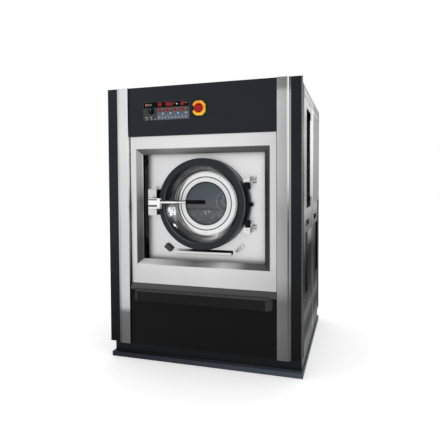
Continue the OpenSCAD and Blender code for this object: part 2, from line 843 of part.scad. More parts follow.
module control_box() {
    wall = 2;
    x0 = overlay_x - 26;
    x1 = 60;
    y1 = upright_y - seat;
    z0 = body_h - 222;
    z1 = body_h - 95;
    color("#9a9fa3") from_front() {
        difference() {
            block(x0, x1, sheet_t + seat, y1, z0, z1);
            block(x0 + wall, x1 - wall, 0, y1 - wall, z0 + wall, z1 - wall);
        }
        for (z = [z0 + 12, z1 - 24]) block(x0 + 30, x1 - 30, y1 - 8, y1 - wall / 2, z, z + 12);
        for (i = [0 : 5]) block(x0 + 40 + 70 * i, x0 + 90 + 70 * i, y1 - 26, y1 - 7, z0 + 18, z0 + 58);
    }
}

module inverter_drive() {
    x0 = 110;
    y1 = back_y - seat;
    z0 = side_top - 366;
    z1 = side_top - 66;
    color("#7d8489") from_front() {
        block(x0, x0 + 230, y1 - 110, y1 - 30, z0, z1);
        for (i = [0 : 9]) block(x0 + 10 + 23 * i, x0 + 14 + 23 * i, y1 - 31, y1, z0 + 5, z1 - 5);
    }
}

// One inlet spigot with its valve body and coil
module inlet(x) {
    difference() {
        union() {
            disc(inlet_r, x, body_d - 30, rear_end, inlet_z);
            disc(inlet_r + 5, x, body_d - 34, back_y - seat, inlet_z);
            block(x - 22, x + 22, body_d - 76, body_d - 33, inlet_z - 22, inlet_z + 22);
            rod(16, x, body_d - 55, inlet_z + 21, inlet_z + 60);
        }
        disc(inlet_bore, x, body_d - 60, rear_end + lap, inlet_z);
    }
}

module inlet_valves() {
    color("#3f6f86") from_front() difference() {
        union() {
            for (i = [-1, 0, 1]) inlet(inlet_x + inlet_step * i);
            disc_x(18, inlet_x - inlet_step - 30, inlet_x + inlet_step + 30, body_d - 92, inlet_z);
            disc(nozzle_r, nozzle_x, nozzle_y - nozzle_r, body_d - 90, inlet_z);
            rod(nozzle_r, nozzle_x, nozzle_y, funnel_z + funnel_h - 30, inlet_z + nozzle_r);
        }
        rod(nozzle_r - 4, nozzle_x, nozzle_y, funnel_z, inlet_z);
        disc(nozzle_r - 6, nozzle_x, nozzle_y, body_d - 92, inlet_z);
    }
}

module drain_valve() {
    color("#4a4d50") from_front() {
        difference() {
            union() {
                rod(neck_r + 12, neck_x, drain_y, drain_z - 52, drain_z + 60);
                rod(neck_r, neck_x, drain_y, drain_z + 59, drain_z + 100);
                disc(drain_r, neck_x, drain_y, rear_end, drain_z);
                disc(drain_r + 6, neck_x, back_y - 12, back_y - seat, drain_z);
                block(neck_x - 120, neck_x - 40, drain_y - 45, drain_y + 45, drain_z - 30, drain_z + 50);
                disc_x(34, neck_x + 40, neck_x + 120, drain_y, drain_z);
                block(neck_x - 70, neck_x + 70, drain_y - 70, drain_y + 70, drain_z - 58, drain_z - 50);
            }
            rod(neck_r - 6, neck_x, drain_y, drain_z - 40, drain_z + 101);
            disc(drain_r - drain_t, neck_x, drain_y, rear_end + lap, drain_z);
        }
        both_sides() block(neck_x + 40, neck_x + 60, drain_y - 60, drain_y + 60, 0, drain_z - 57);
        block(neck_x - 70, neck_x + 70, drain_y - 70, drain_y + 70, 0, 8);
    }
}

module cable_gland() {
    color("#2c2e30") from_front() difference() {
        union() {
            disc(gland_r + 8, gland_x, body_d + seat, body_d + 14, gland_z);
            disc(gland_r + 5, gland_x, body_d + 13, body_d + 34, gland_z);
            disc(gland_r + 3.6, gland_x, back_y - 12, body_d + lap, gland_z);
            disc(gland_r + 8, gland_x, back_y - 12, back_y - seat, gland_z);
        }
        disc(gland_r, gland_x, back_y - 13, body_d + 35, gland_z);
    }
}

// Draws its child at each of the four suspension corners, at the given X
module at_corners(x) {
    for (s = [-1, 1]) for (y = [spring_front, spring_rear]) translate([s * x, y, 0]) children();
}

module damper_bodies() {
    top = cradle_z - 40;
    color("#3a3d40") from_front() at_corners(damper_x) difference() {
        union() {
            cylinder_at(damper_r, base_h + seat, top);
            cylinder_at(damper_r + 3, base_h + seat, base_h + 8);
        }
        cylinder_at(damper_rod + 4 * seat, base_h + 20, top + lap);
    }
}

// An upright cylinder between two heights
module cylinder_at(r, z0, z1) {
    translate([0, 0, z0]) cylinder(r = r, h = z1 - z0);
}

module damper_rods() {
    color("#c8cacc") from_front() at_corners(damper_x) {
        cylinder_at(damper_rod, base_h + 60, cradle_z - seat);
        cylinder_at(damper_rod + 6, cradle_z - 16, cradle_z - seat);
    }
}

// Points of one ring of the spring wire
wire_sides = 6;
turn_steps = 16;
function wire_ring(a, z) = [for (k = [0 : wire_sides - 1])
    let (b = 360 * (k + 0.5) / wire_sides, r = spring_r + wire_r * cos(b))
    [r * cos(a), r * sin(a), z + wire_r * sin(b)]];

// One coil spring swept round its axis between two heights, with closed flat-wound ends
module coil_spring(z0, z1) {
    steps = turn_steps * spring_turns;
    low = z0 + wire_r;
    climb = z1 - z0 - 2 * wire_r;
    rings = [for (i = [0 : steps]) wire_ring(360 * i / turn_steps,
        low + climb * spring_rise(i / steps))];
    points = [for (r = rings) each r];
    sides = [for (i = [0 : steps - 1]) for (k = [0 : wire_sides - 1])
        [i * wire_sides + k, i * wire_sides + (k + 1) % wire_sides,
        (i + 1) * wire_sides + (k + 1) % wire_sides, (i + 1) * wire_sides + k]];
    first = [for (k = [wire_sides - 1 : -1 : 0]) k];
    last = [for (k = [0 : wire_sides - 1]) steps * wire_sides + k];
    polyhedron(points, concat([first], sides, [last]), convexity = 10);
}

// Share of the height reached at a share of the turns: one tight turn at each end
function spring_rise(t) = let (e = 1 / spring_turns, h = 2.2 * wire_r / (cradle_z - base_h))
    t < e ? h * t / e : t > 1 - e ? 1 - h * (1 - t) / e : h + (1 - 2 * h) * (t - e) / (1 - 2 * e);

module suspension_springs() {
    color("#6d7073") from_front() at_corners(spring_x)
        coil_spring(base_h + seat, cradle_z - seat);
}

module drain_bellows() {
    z0 = drain_z + 66;
    z1 = tub_bottom - 20;
    pitch = (z1 - z0 - 60) / 6;
    r = neck_r + 1;
    outer = [for (i = [0 : 5]) each [[r + 4, z0 + 30 + pitch * i],
        [r + 18, z0 + 30 + pitch * (i + 0.5)]]];
    inner = [for (i = [5 : -1 : 0]) each [[r + 14, z0 + 30 + pitch * (i + 0.5)],
        [r, z0 + 30 + pitch * i]]];
    color("#232527") from_front() translate([neck_x, drain_y, 0]) rotate_extrude()
        polygon(concat([[r, z0], [r + 4, z0]], outer, [[r + 4, z1 - 30], [r + 4, z1], [r, z1],
            [r, z1 - 30]], inner));
}

module tub_shell() {
    r = tub_r;
    t = tub_t;
    color("#c2c4c5") from_front() difference() {
        union() {
            turned([[mouth_r, shell_y + seat], [mouth_r + 4, shell_y + seat], [mouth_r + 4, tub_y],
                [r, tub_y], [r, tub_back], [housing_r + 8, tub_back], [housing_r + 8, tub_back - t],
                [r - t, tub_back - t], [r - t, tub_y + t], [mouth_r, tub_y + t]]);
            rod(neck_r, neck_x, drain_y, tub_bottom - 50, tub_bottom + 12);
            rod(funnel_r, nozzle_x, nozzle_y, funnel_z, funnel_z + funnel_h);
            for (y = [tub_y + 150, tub_y + 480]) difference() {
                disc(r + 12, 0, y, y + 12, axis_z);
                disc(r - lap, 0, y - lap, y + 13, axis_z);
            }
        }
        rod(neck_r - 4, neck_x, drain_y, tub_bottom - 51, tub_bottom + 40);
        rod(funnel_r - 3, nozzle_x, nozzle_y, funnel_z + 30, funnel_z + funnel_h + lap);
        rod(30, nozzle_x, nozzle_y, funnel_z - 40, funnel_z + funnel_h);
    }
}

module tub_front_plate() {
    z0 = axis_z - plate_w;
    z1 = axis_z + plate_w - 40;
    color("#d7d8d9") from_front() difference() {
        union() {
            block(-plate_w, plate_w, plate_y, plate_y + 3, z0, z1);
            both_sides() block(plate_w - 3, plate_w, plate_y, plate_y + 32, z0, z1);
            block(-plate_w, plate_w, plate_y, plate_y + 32, z0, z0 + 3);
            block(-plate_w, plate_w, plate_y, plate_y + 32, z1 - 3, z1);
            for (x = [-1, 1]) for (z = [-1, 1]) disc(16, x * 330, plate_y + 2, tub_y - seat,
                axis_z + z * 330);
        }
        disc(mouth_r + 4 + seat, 0, plate_y - lap, plate_y + 4, axis_z);
    }
}

module door_gasket() {
    color("#1d1f21") from_front() turned([[mouth_r - 8, ring_back + seat],
        [ring_r - 6, ring_back + seat], [ring_r - 4, ring_back + 2], [ring_r - 4, plate_y - seat],
        [mouth_r - seat, plate_y - seat], [mouth_r - seat, tub_y - 10], [mouth_r - 4, tub_y - 10],
        [mouth_r - 8, tub_y - 20]]);
}

module drip_gutter() {
    z = axis_z - ring_r - 14;
    y1 = plate_y - seat;
    color("#b4b7b9") from_front() {
        run_x([[y1, z], [y1, z - 22], [y1 - 46, z - 28], [y1 - 49, z - 26], [y1 - 49, z - 10],
            [y1 - 46, z - 10], [y1 - 46, z - 25], [y1 - 3, z - 19], [y1 - 3, z]], -226, 190);
        translate([212, 0, z - 10]) rotate([0, -40, 0]) difference() {
            block(0, 78, y1 - 49, y1, -10, 12);
            block(12, 66, y1 - 50, y1 - 3, -7, 9);
        }
    }
}

module buffer_block() {
    z = axis_z - ring_r - 4;
    color("#4a4d4f") from_front() translate([-278, 0, z]) rotate([0, 38, 0])
        block(-27, 27, plate_y - seat - 40, plate_y - seat, -17, 17);
}

// One hinge bracket, its middle at the given height
module hinge_bracket(z) {
    x0 = hinge_x - bracket_w / 2 - 2;
    x1 = hinge_x + bracket_w / 2 - 2;
    difference() {
        union() {
            block(x0, x1, hinge_y - 21, plate_y - seat, z - bracket_h / 2, z + bracket_h / 2);
            block(x0 - 12, x1 + 14, plate_y - 8, plate_y - seat, z - bracket_h / 2 - 8,
                z + bracket_h / 2 + 8);
        }
        rod(pin_r + run, hinge_x, hinge_y, z - bracket_h, z + bracket_h);
        for (i = [0, 1]) for (s = [-1, 1])
            disc_x(4.5, x1 - 10, x1 + lap, hinge_y + 34 + 45 * i, z + s * 8);
        disc_x(7, x1 - 14, x1 + lap, hinge_y + 2, z);
        for (s = [-1, 1])
            disc(3.2, (x0 + x1) / 2 + 9 * s, hinge_y - 22, hinge_y - 17, z);
        for (s = [-1, 1]) disc(3.5, s < 0 ? x0 - 6 : x1 + 8, plate_y - 9, plate_y, z);
    }
}

module hinge_brackets() {
    color("#dfe0e0") from_front() for (s = [-1, 1]) hinge_bracket(axis_z + s * hinge_dz);
}

module latch_bracket() {
    y1 = plate_y - seat;
    front_right = latch_right - 14;
    color("#d2d4d5") from_front() difference() {
        union() {
            block(latch_left, front_right, latch_y, latch_y + latch_t, latch_z0, latch_z1);
            block(latch_left, latch_left + latch_t, latch_y, y1, latch_z0, latch_z1);
            block(latch_left, latch_right, y1 - latch_t, y1, latch_z0, latch_z1);
            block(latch_left, latch_right, latch_y, y1, latch_z0, latch_z0 + latch_t);
            block(latch_left, front_right, latch_y, y1, lever_z - 40, lever_z - 36);
        }
        block(lever_x - 24, front_right + lap, latch_y - lap, bolt_y + 36,
            lever_z - tongue_t / 2 - 7, lever_z + tongue_t / 2 + 7);
    }
}

module lock_block() {
    color("#17191a") from_front() difference() {
        block(latch_left + latch_t + seat, latch_right, latch_y + latch_t + seat,
            plate_y - seat - latch_t - seat, lock_z0, lock_z1);
        rod(bolt_r + run, bolt_x, bolt_y, lock_z0 - lap, lock_z1 + lap);
    }
}

module lock_bolt() {
    color("#b9bcbe") from_front() {
        rod(bolt_r, bolt_x, bolt_y, lever_z + tongue_t / 2 + bolt_rest, lock_z1 + bolt_travel + 4);
        rod(bolt_r + 3, bolt_x, bolt_y, lock_z1 + bolt_travel + 1, lock_z1 + bolt_travel + 5);
    }
}

module bearing_housing() {
    r = housing_r;
    y0 = hub_y;
    y1 = hub_end;
    color("#5b6063") from_front() difference() {
        union() {
            turned([[r - 40, y0], [r + 150, y0], [r + 150, y0 + 14], [r + 10, y0 + 22], [r, y0 + 40],
                [r - 8, y1 - 20], [r - 8, y1], [r - 40, y1]]);
            for (i = [0 : 5]) translate([0, 0, axis_z]) rotate([0, 60 * i + 30, 0])
                rib(r, y0, y1);
        }
        disc(bearing_r(0), 0, y0 - lap, y0 + bearing_w + 8, axis_z);
        disc(bearing_r(1), 0, y1 - bearing_w - 8, y1 + lap, axis_z);
        disc(shaft_r + 14, 0, y0 - lap, y1 + lap, axis_z);
    }
}

// A tapered rib of the bearing housing, out along X
module rib(r, y0, y1) {
    translate([0, 0, -8]) linear_extrude(16)
        polygon([[r - 14, y0 + 2], [r + 130, y0 + 2], [r + 130, y0 + 24], [r + 4, y1 - 40],
            [r - 14, y1 - 40]]);
}

bearing_w = 34;
// Outer radius of the front and rear bearing
function bearing_r(i) = shaft_r + (i == 0 ? 36 : 32);

// One roller bearing: outer race, inner race and rollers
module bearing(y, r) {
    roll = (r - shaft_r - 16) / 2;
    mid = shaft_r + run + 8 + roll;
    turned_ring(r - 8, r - run, y, y + bearing_w);
    turned_ring(shaft_r + run, shaft_r + 8, y, y + bearing_w);
    for (i = [0 : 13]) translate([0, 0, axis_z]) rotate([0, 360 * i / 14, 0])
        disc(roll - 0.3, mid, y + 3, y + bearing_w - 3, 0);
}

// A plain ring about the drum axis
module turned_ring(r0, r1, y0, y1) {
    turned([[r0, y0], [r1, y0], [r1, y1], [r0, y1]]);
}

module main_bearings() {
    color("#a9acae") from_front() {
        bearing(hub_y + 5, bearing_r(0));
        bearing(hub_end - bearing_w - 5, bearing_r(1));
    }
}

module motor() {
    y1 = pulley_y - 24;
    y0 = y1 - motor_l;
    color("#4d5f6b") from_front() difference() {
        union() {
            disc(motor_r - 10, motor_x, y0 + 30, y1 - 30, motor_z);
            disc(motor_r, motor_x, y0, y0 + 32, motor_z);
            disc(motor_r, motor_x, y1 - 32, y1, motor_z);
            disc(46, motor_x, y1 - lap, y1 + 12, motor_z);
            for (i = [0 : 19]) translate([motor_x, 0, motor_z]) rotate([0, 18 * i + 9, 0])
                block(motor_r - 12, motor_r - 1, y0 + 31, y1 - 31, -2, 2);
            block(motor_x - 50, motor_x + 50, y0 + 100, y0 + 220, motor_z + motor_r - 15,
                motor_z + motor_r + 22);
            block(motor_x - 90, motor_x + 90, y0 + 40, y1 - 40, cradle_z + cradle_h + 12 + seat,
                cradle_z + cradle_h + 26);
            for (s = [-1, 1]) block(motor_x + s * 60 - 8, motor_x + s * 60 + 8, y0 + 50, y1 - 50,
                cradle_z + cradle_h + 20, motor_z - 60);
        }
        disc(19 + run, motor_x, y1 - 120, y1 + 13, motor_z);
    }
}

// One upright saddle plate of the cradle, cut to the tub
module saddle(x0, x1, y) {
    difference() {
        block(x0, x1, y - 8, y + 8, cradle_z + cradle_h - lap, axis_z - tub_r + 90);
        disc(tub_r + seat, 0, y - 9, y + 9, axis_z);
    }
}

module tub_cradle() {
    color("#5b6063") from_front() difference() {
        union() {
            for (y = [spring_front, spring_rear]) {
                difference() {
                    block(-spring_x - 75, spring_x + 75, y - 45, y + 45, cradle_z, cradle_z + cradle_h);
                    block(-spring_x - 76, spring_x + 76, y - 39, y + 39, cradle_z + 6,
                        cradle_z + cradle_h - 6);
                }
                for (s = [-1, 1]) saddle(s * 150 - 60, s * 150 + 60, y);
            }
            for (s = [-1, 1]) block(s * 120 - 20, s * 120 + 20, spring_front - 44, spring_rear + 44,
                cradle_z, cradle_z + cradle_h);
            block(motor_x - 120, motor_x + 100, spring_rear - 44, pulley_y - 30,
                cradle_z + cradle_h - lap, cradle_z + cradle_h + 12);
            for (s = [0, 1]) block(motor_x - 120 + 205 * s, motor_x - 105 + 205 * s, spring_rear - 44,
                pulley_y - 40, cradle_z + 10, cradle_z + cradle_h);
        }
        for (s = [-1, 1]) block(s * 120 - 14, s * 120 + 14, spring_front - 38, spring_rear + 38,
            cradle_z + 6, cradle_z + cradle_h - 6);
    }
}

// Half the angle by which the belt's straight runs lean in, and the belt's frame
belt_dx = motor_x;
belt_dz = motor_z - axis_z;
belt_len = sqrt(belt_dx * belt_dx + belt_dz * belt_dz);
belt_turn = atan2(belt_dz, belt_dx);

// The solid round both pulleys between two depths, for the given radii
module belt_solid(r0, r1, y0, y1) {
    lean = asin((r0 - r1) / belt_len);
    translate([0, y1, axis_z]) rotate([90, 0, 0]) rotate([0, 0, belt_turn]) {
        cylinder(r = r0, h = y1 - y0);
        translate([belt_len, 0, 0]) cylinder(r = r1, h = y1 - y0);
        linear_extrude(y1 - y0)
            polygon([[r0 * sin(lean), r0 * cos(lean)], [belt_len + r1 * sin(lean), r1 * cos(lean)],
                [belt_len + r1 * sin(lean), -r1 * cos(lean)], [r0 * sin(lean), -r0 * cos(lean)]]);
    }
}

module drive_belt() {
    inset = 5;
    y0 = pulley_y + inset;
    y1 = pulley_y + pulley_w - inset;
    color("#1a1b1c") from_front() difference() {
        belt_solid(pulley_r + seat + belt_t, pinion_r + seat + belt_t, y0, y1);
        belt_solid(pulley_r + seat, pinion_r + seat, y0 - lap, y1 + lap);
    }
}

module drum_basket() {
    r = drum_r;
    t = drum_t;
    m = drum_mouth;
    color("#c9cbcc") from_front() turned([[m, drum_y - 6], [m + 5, drum_y - 8], [m + 9, drum_y - 4],
        [m + 9, drum_y], [r - 14, drum_y], [r, drum_y + 14], [r, drum_back - 14],
        [r - 14, drum_back], [0, drum_back], [0, drum_back - t], [r - 14 - t / 2, drum_back - t],
        [r - t, drum_back - 14 - t / 2], [r - t, drum_y + 14 + t / 2], [r - 14 - t / 2, drum_y + t],
        [m + 4, drum_y + t], [m, drum_y]]);
}

module drum_lifters() {
    base = sqrt(pow(drum_r - drum_t - seat, 2) - pow(lifter_w / 2, 2));
    color("#b9bbbd") from_front() for (i = [0 : 2]) translate([0, 0, axis_z])
        rotate([0, 120 * i + 60, 0]) translate([0, drum_back - drum_t - 12, 0]) rotate([90, 0, 0])
        linear_extrude(drum_l - 2 * drum_t - 26) difference() {
            polygon([[base, -lifter_w / 2], [base, lifter_w / 2],
                [base - lifter_h + 26, 27], [base - lifter_h + 8, 20], [base - lifter_h, 8],
                [base - lifter_h, -8], [base - lifter_h + 8, -20], [base - lifter_h + 26, -27]]);
            polygon([[base + lap, 4 - lifter_w / 2 + 2], [base + lap, lifter_w / 2 - 6],
                [base - lifter_h + 28, 23], [base - lifter_h + 4, 7],
                [base - lifter_h + 4, -7], [base - lifter_h + 28, -23]]);
        }
}

module drum_spider() {
    arm_y = min(spider_y + 22, tub_back - tub_t - 4);
    color("#5f6366") from_front() {
        disc(110, 0, spider_y, arm_y, axis_z);
        for (i = [0 : 2]) translate([0, 0, axis_z]) rotate([0, 120 * i, 0])
            translate([0, arm_y, 0]) rotate([90, 0, 0]) linear_extrude(arm_y - spider_y)
            polygon([[60, -62], [60, 62], [drum_r - 40, 40], [drum_r - 18, 26],
                [drum_r - 18, -26], [drum_r - 40, -40]]);
        disc(shaft_r, 0, arm_y - lap, pulley_y + pulley_w + 12, axis_z);
        disc(shaft_r + 7, 0, arm_y - lap, tub_back, axis_z);
    }
}

module drum_pulley() {
    y0 = pulley_y;
    y1 = pulley_y + pulley_w;
    r = pulley_r;
    b = shaft_r + run;
    color("#4c5053") from_front() difference() {
        turned([[b, y0 - 8], [b + 32, y0 - 8], [b + 32, y0 + 20], [r - 18, y0 + 24], [r - 14, y0],
            [r, y0], [r, y1], [r - 14, y1], [r - 18, y0 + 36], [b + 32, y0 + 40],
            [b + 32, y1], [b, y1]]);
        for (i = [0 : 5]) translate([0, 0, axis_z]) rotate([0, 60 * i, 0])
            disc(40, (b + 32 + r - 18) / 2, y0 - 9, y1 + 1, 0);
    }
}

module motor_pulley() {
    y0 = pulley_y;
    y1 = pulley_y + pulley_w;
    color("#3e4144") from_front() {
        disc(pinion_r, motor_x, y0, y1, motor_z);
        disc(19, motor_x, y0 - 142, y1 + 10, motor_z);
        disc(34, motor_x, y0 - 8, y0 + lap, motor_z);
    }
}

// The door's latch tongue, with the lever's pivot and the lock bolt's hole
module latch_tongue() {
    z0 = lever_z - tongue_t / 2;
    z1 = lever_z + tongue_t / 2;
    difference() {
        union() {
            block(tongue_left, -ring_r + 6, ring_y + 4, bolt_y + 28, z0, z1);
            block(lever_x - 16, lever_x + 16, -lever_out, ring_y + 12, z0, z1);
            rod(18, lever_x, -lever_out, z0, z1);
        }
        rod(pin_r - 1 + run, lever_x, -lever_out, z0 - lap, z1 + lap);
        rod(bolt_r + 1.5, bolt_x, bolt_y, z0 - lap, z1 + lap);
        disc(ring_r - 4, 0, ring_y - lap, ring_back, axis_z);
    }
}

module door_ring() {
    r = ring_r;
    i = ring_in;
    t = ring_t;
    y = ring_y;
    color("#33373a") from_front() {
        turned([[r, ring_back], [r, y + 14], [r - 2, y + 7], [r - 7, y + 2], [r - 14, y], [i + 7, y],
            [i + 2, y + 2], [i, y + 7], [i, y + ring_lip], [i + 5, y + ring_lip], [i + 8, y + t - 1],
            [r - 14, y + t - 1], [r - 6 - t / 2, y + t + 2], [r - t, y + 16], [r - t, ring_back - 4],
            [glass_r + 21, ring_back - 4], [glass_r + 21, ring_back]]);
        latch_tongue();
    }
}

module door_bowl() {
    t = bowl_t;
    y = bowl_y;
    f = bowl_floor;
    color("#d5d6d7") from_front() turned([[ring_r - ring_t - 5, y], [bowl_lip, y], [bowl_r, f],
        [glass_r + 7, f], [glass_r + 7, f + t], [bowl_r + 1.6, f + t], [bowl_lip + 1.7, y + t],
        [ring_r - ring_t - 5, y + t]]);
}

module clamp_ring() {
    r0 = glass_r;
    r1 = bowl_r - 6;
    y0 = bowl_floor - seat - clamp_t;
    y1 = bowl_floor - seat;
    g = groove_r;
    color("#e4e5e5") from_front() difference() {
        turned([[r0 + 2, y0], [g - 2.5, y0], [g - 2.5, y0 + 5], [g + 2.5, y0 + 5], [g + 2.5, y0],
            [r1 - 2, y0], [r1, y0 + 3], [r1, y1], [r0, y1], [r0, y0 + 3]]);
        for (k = [0 : 11]) translate([0, 0, axis_z]) rotate([0, 30 * k, 0])
            disc(3, g + 18, y0 - lap, y0 + 2.5, 0);
    }
}

module door_glass() {
    y = glass_y;
    color("#5a6066", 0.6) from_front() turned([[0, y - 5], [60, y - 4.4], [105, y - 2.6],
        [140, y], [glass_r + 17, y], [glass_r + 17, y + glass_t], [130, y + glass_t],
        [60, y + glass_t + 4], [0, y + glass_t + 5]]);
}

module door_yoke() {
    y0 = ring_y + 20;
    r0 = ring_r + 0.4;
    r1 = r0 + yoke_t;
    far = axis_z + hinge_dz - bracket_h / 2 - seat;
    color("#1b1d1f") from_front() difference() {
        union() {
            translate([0, y0, axis_z]) rotate([-90, 0, 0])
                rotate([0, 0, -24]) rotate_extrude(angle = 48) polygon([[r0, 4], [r0 + 4, 0],
                    [r1 - 4, 0], [r1, 5], [r1, yoke_w - 5], [r1 - 5, yoke_w], [r0, yoke_w]]);
            for (s = [0, 1]) translate([0, 0, axis_z]) mirror([0, 0, s]) {
                rod(17, hinge_x, hinge_y, 100, far - axis_z);
                block(hinge_x - 46, hinge_x + 12, hinge_y, y0 + 26, 102, 130);
            }
            disc_x(16, r1 - 4, r1 + 8, y0 + 30, axis_z);
            disc_x(12, r1 - 4, r1 + 20, y0 + 30, axis_z);
        }
        disc(r0, 0, 0, plate_y, axis_z);
        rod(pin_r + run, hinge_x, hinge_y, 0, body_h);
    }
}

module hinge_pins() {
    h = hinge_dz + bracket_h / 2 - 1;
    color("#b9bcbe") from_front() {
        rod(pin_r, hinge_x, hinge_y, axis_z + 104, axis_z + h);
        rod(pin_r, hinge_x, hinge_y, axis_z - h, axis_z - 104);
        rod(pin_r - 1, lever_x, -lever_out, lever_z - knuckle_h / 2 + 1, lever_z + knuckle_h / 2 - 1);
    }
}

module door_lever() {
    z0 = lever_z - knuckle_h / 2;
    z1 = lever_z + knuckle_h / 2;
    gap0 = lever_z - tongue_t / 2 - 0.5;
    gap1 = lever_z + tongue_t / 2 + 0.5;
    tip = rod_x + rod_l;
    color("#c9cbcd") from_front() difference() {
        union() {
            translate([lever_x, -lever_out, 0]) {
                translate([0, 0, z0 + 4]) cylinder(r = knuckle_r, h = knuckle_h - 8);
                translate([0, 0, z0]) cylinder(r1 = knuckle_r - 4, r2 = knuckle_r, h = 4);
                translate([0, 0, z1 - 4]) cylinder(r1 = knuckle_r, r2 = knuckle_r - 4, h = 4);
            }
            translate([lever_x + 8, -rod_out + 4, lever_z]) rotate([0, 90, 0])
                cylinder(r1 = reach - rod_out + 4, r2 = rod_r, h = 46);
            translate([rod_x, -rod_out, lever_z]) rotate([0, 90, 0])
                cylinder(r1 = rod_r, r2 = rod_tip, h = rod_l);
            translate([tip, -rod_out, lever_z]) rotate([0, 90, 0])
                cylinder(r1 = rod_tip + 2, r2 = rod_tip - 2, h = 10);
            translate([tip - 8, -rod_out, lever_z]) rotate([0, 90, 0])
                cylinder(r1 = rod_tip, r2 = rod_tip + 2, h = 8.5);
            disc_x(6, tip, tip + grip_l - 20, -rod_out, lever_z);
        }
        translate([lever_x, -lever_out, gap0]) cylinder(r = 20, h = gap1 - gap0);
        block(lever_x - 20, lever_x + 19, -lever_out, 10, gap0, gap1);
        block(lever_x - 40, lever_x, -lever_out - 18, 10, gap0, gap1);
        rod(pin_r - 1 + run, lever_x, -lever_out, z0 - lap, z1 + lap);
    }
}

module lever_grip() {
    x0 = rod_x + rod_l + 10 + seat;
    color("#141617") from_front() translate([x0, -rod_out, lever_z]) rotate([0, 90, 0])
        rotate_extrude() polygon([[6 + seat, 0], [grip_r - 2, 0], [grip_r, 2],
            [grip_r, grip_l - 6], [grip_r - 2, grip_l - 2], [grip_r - 5, grip_l], [0, grip_l],
            [0, grip_l - 12], [6 + seat, grip_l - 12]]);
}

main_frame();
left_side_panel();
right_side_panel();
side_covers();
left_corner_panel();
right_corner_panel();
left_trim();
right_trim();
control_fascia();
front_panel();
bezel_frame();
lower_panel();
pull_bar();
top_cover();
back_panel();
cabinet_screws();
control_overlay();
display_windows();
program_knob();
start_key();
stop_key();
stop_collar();
stop_button();
control_box();
inverter_drive();
inlet_valves();
drain_valve();
cable_gland();
damper_bodies();
suspension_springs();
drain_bellows();
tub_shell();
tub_front_plate();
door_gasket();
drip_gutter();
buffer_block();
hinge_brackets();
latch_bracket();
lock_block();
lock_bolt();
bearing_housing();
main_bearings();
motor();
tub_cradle();
damper_rods();
drive_belt();
drum_basket();
drum_lifters();
drum_spider();
drum_pulley();
motor_pulley();
door_ring();
door_bowl();
clamp_ring();
door_glass();
door_yoke();
hinge_pins();
door_lever();
lever_grip();
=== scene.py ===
"""Looks of an industrial washing machine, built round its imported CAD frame.

Metres throughout, in the frame of the solids: X runs right, Y to the rear and Z up, with the
origin on the floor. The solids keep their shapes and get their finishes here, and the fine
pieces that the solids leave out, such as the print of the controls, are modelled here.
"""

import functools
import logging
import math
from dataclasses import dataclass
from enum import Enum
from typing import Callable, ClassVar, Sequence

import bmesh
import bpy
from mathutils import Matrix, Vector


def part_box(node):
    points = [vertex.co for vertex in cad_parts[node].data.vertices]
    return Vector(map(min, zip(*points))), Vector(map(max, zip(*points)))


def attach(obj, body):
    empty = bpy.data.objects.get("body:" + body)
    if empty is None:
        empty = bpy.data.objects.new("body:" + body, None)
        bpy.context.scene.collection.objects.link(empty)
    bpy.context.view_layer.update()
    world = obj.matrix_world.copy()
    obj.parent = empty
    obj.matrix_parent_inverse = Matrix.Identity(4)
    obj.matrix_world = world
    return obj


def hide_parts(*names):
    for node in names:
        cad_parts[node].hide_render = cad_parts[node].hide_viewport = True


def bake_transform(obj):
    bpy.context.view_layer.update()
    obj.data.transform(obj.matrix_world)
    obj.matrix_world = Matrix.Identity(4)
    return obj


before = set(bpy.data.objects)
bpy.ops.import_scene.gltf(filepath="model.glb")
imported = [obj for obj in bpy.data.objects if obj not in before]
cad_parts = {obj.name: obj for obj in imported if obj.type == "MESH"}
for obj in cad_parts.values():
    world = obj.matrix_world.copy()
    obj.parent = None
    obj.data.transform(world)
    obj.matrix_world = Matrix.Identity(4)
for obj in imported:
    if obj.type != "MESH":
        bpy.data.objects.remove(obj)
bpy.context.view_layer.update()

LOG = logging.getLogger("washer")

FRONT = -0.658  # the plane of the dark corner panels
HALF_WIDTH = 0.680
DOOR_Z = 1.100  # height of the drum's and the door's axis
FILM = 0.0003  # thickness of a printed film or mark
OVERLAY_FACE = FRONT - 0.0018
BAND_FACE = OVERLAY_FACE - FILM
DISPLAY_FACE = FRONT - 0.0025
TO_REAR = (math.pi / 2, 0.0, 0.0)  # turns a primitive's axis to the rear
NOISE_SPAN = (0.25, 0.75)  # the values between which a noise pattern mostly lies
PLAIN_SHINE = 0.5  # the shader's own value of Specular IOR Level

Socket = bpy.types.NodeSocket
Colour = tuple[float, float, float, float]
Level = tuple[float, float, float]
Point = tuple[float, float, float]
Stops = Sequence[tuple[float, float]]
Profile = Sequence[tuple[float, float]]


def seen(red: float, green: float, blue: float) -> Colour:
    """Turns a colour as seen on screen, 0 to 255 each, into a linear one with full alpha."""
    linear = [share / 12.92 if share <= 0.04045 else ((share + 0.055) / 1.055) ** 2.4
              for share in (red / 255, green / 255, blue / 255)]
    return (*linear, 1.0)


def tone(level: float) -> Colour:
    """Turns a grey level as seen on screen, 0 to 255, into a linear colour."""
    return seen(level, level, level)


class Grain(Enum):
    """Which way a sheet's brush lines run, as their number to a metre along each axis.

    Turned lines lie round the door's axis, and their first number counts along the radius.
    """

    ACROSS = (0.9, 260, 260)
    UPRIGHT = (260, 260, 0.9)
    DEEP = (260, 0.9, 260)
    TURNED = (900, 0, 0)


class Axis(Enum):
    """A coordinate that a gradient follows."""

    X = 0
    Y = 1
    Z = 2


class MixKind(Enum):
    """What a Mix node mixes, with the numbers of its two inputs and its output for that."""

    RGBA = (6, 7, 2)
    VECTOR = (4, 5, 1)


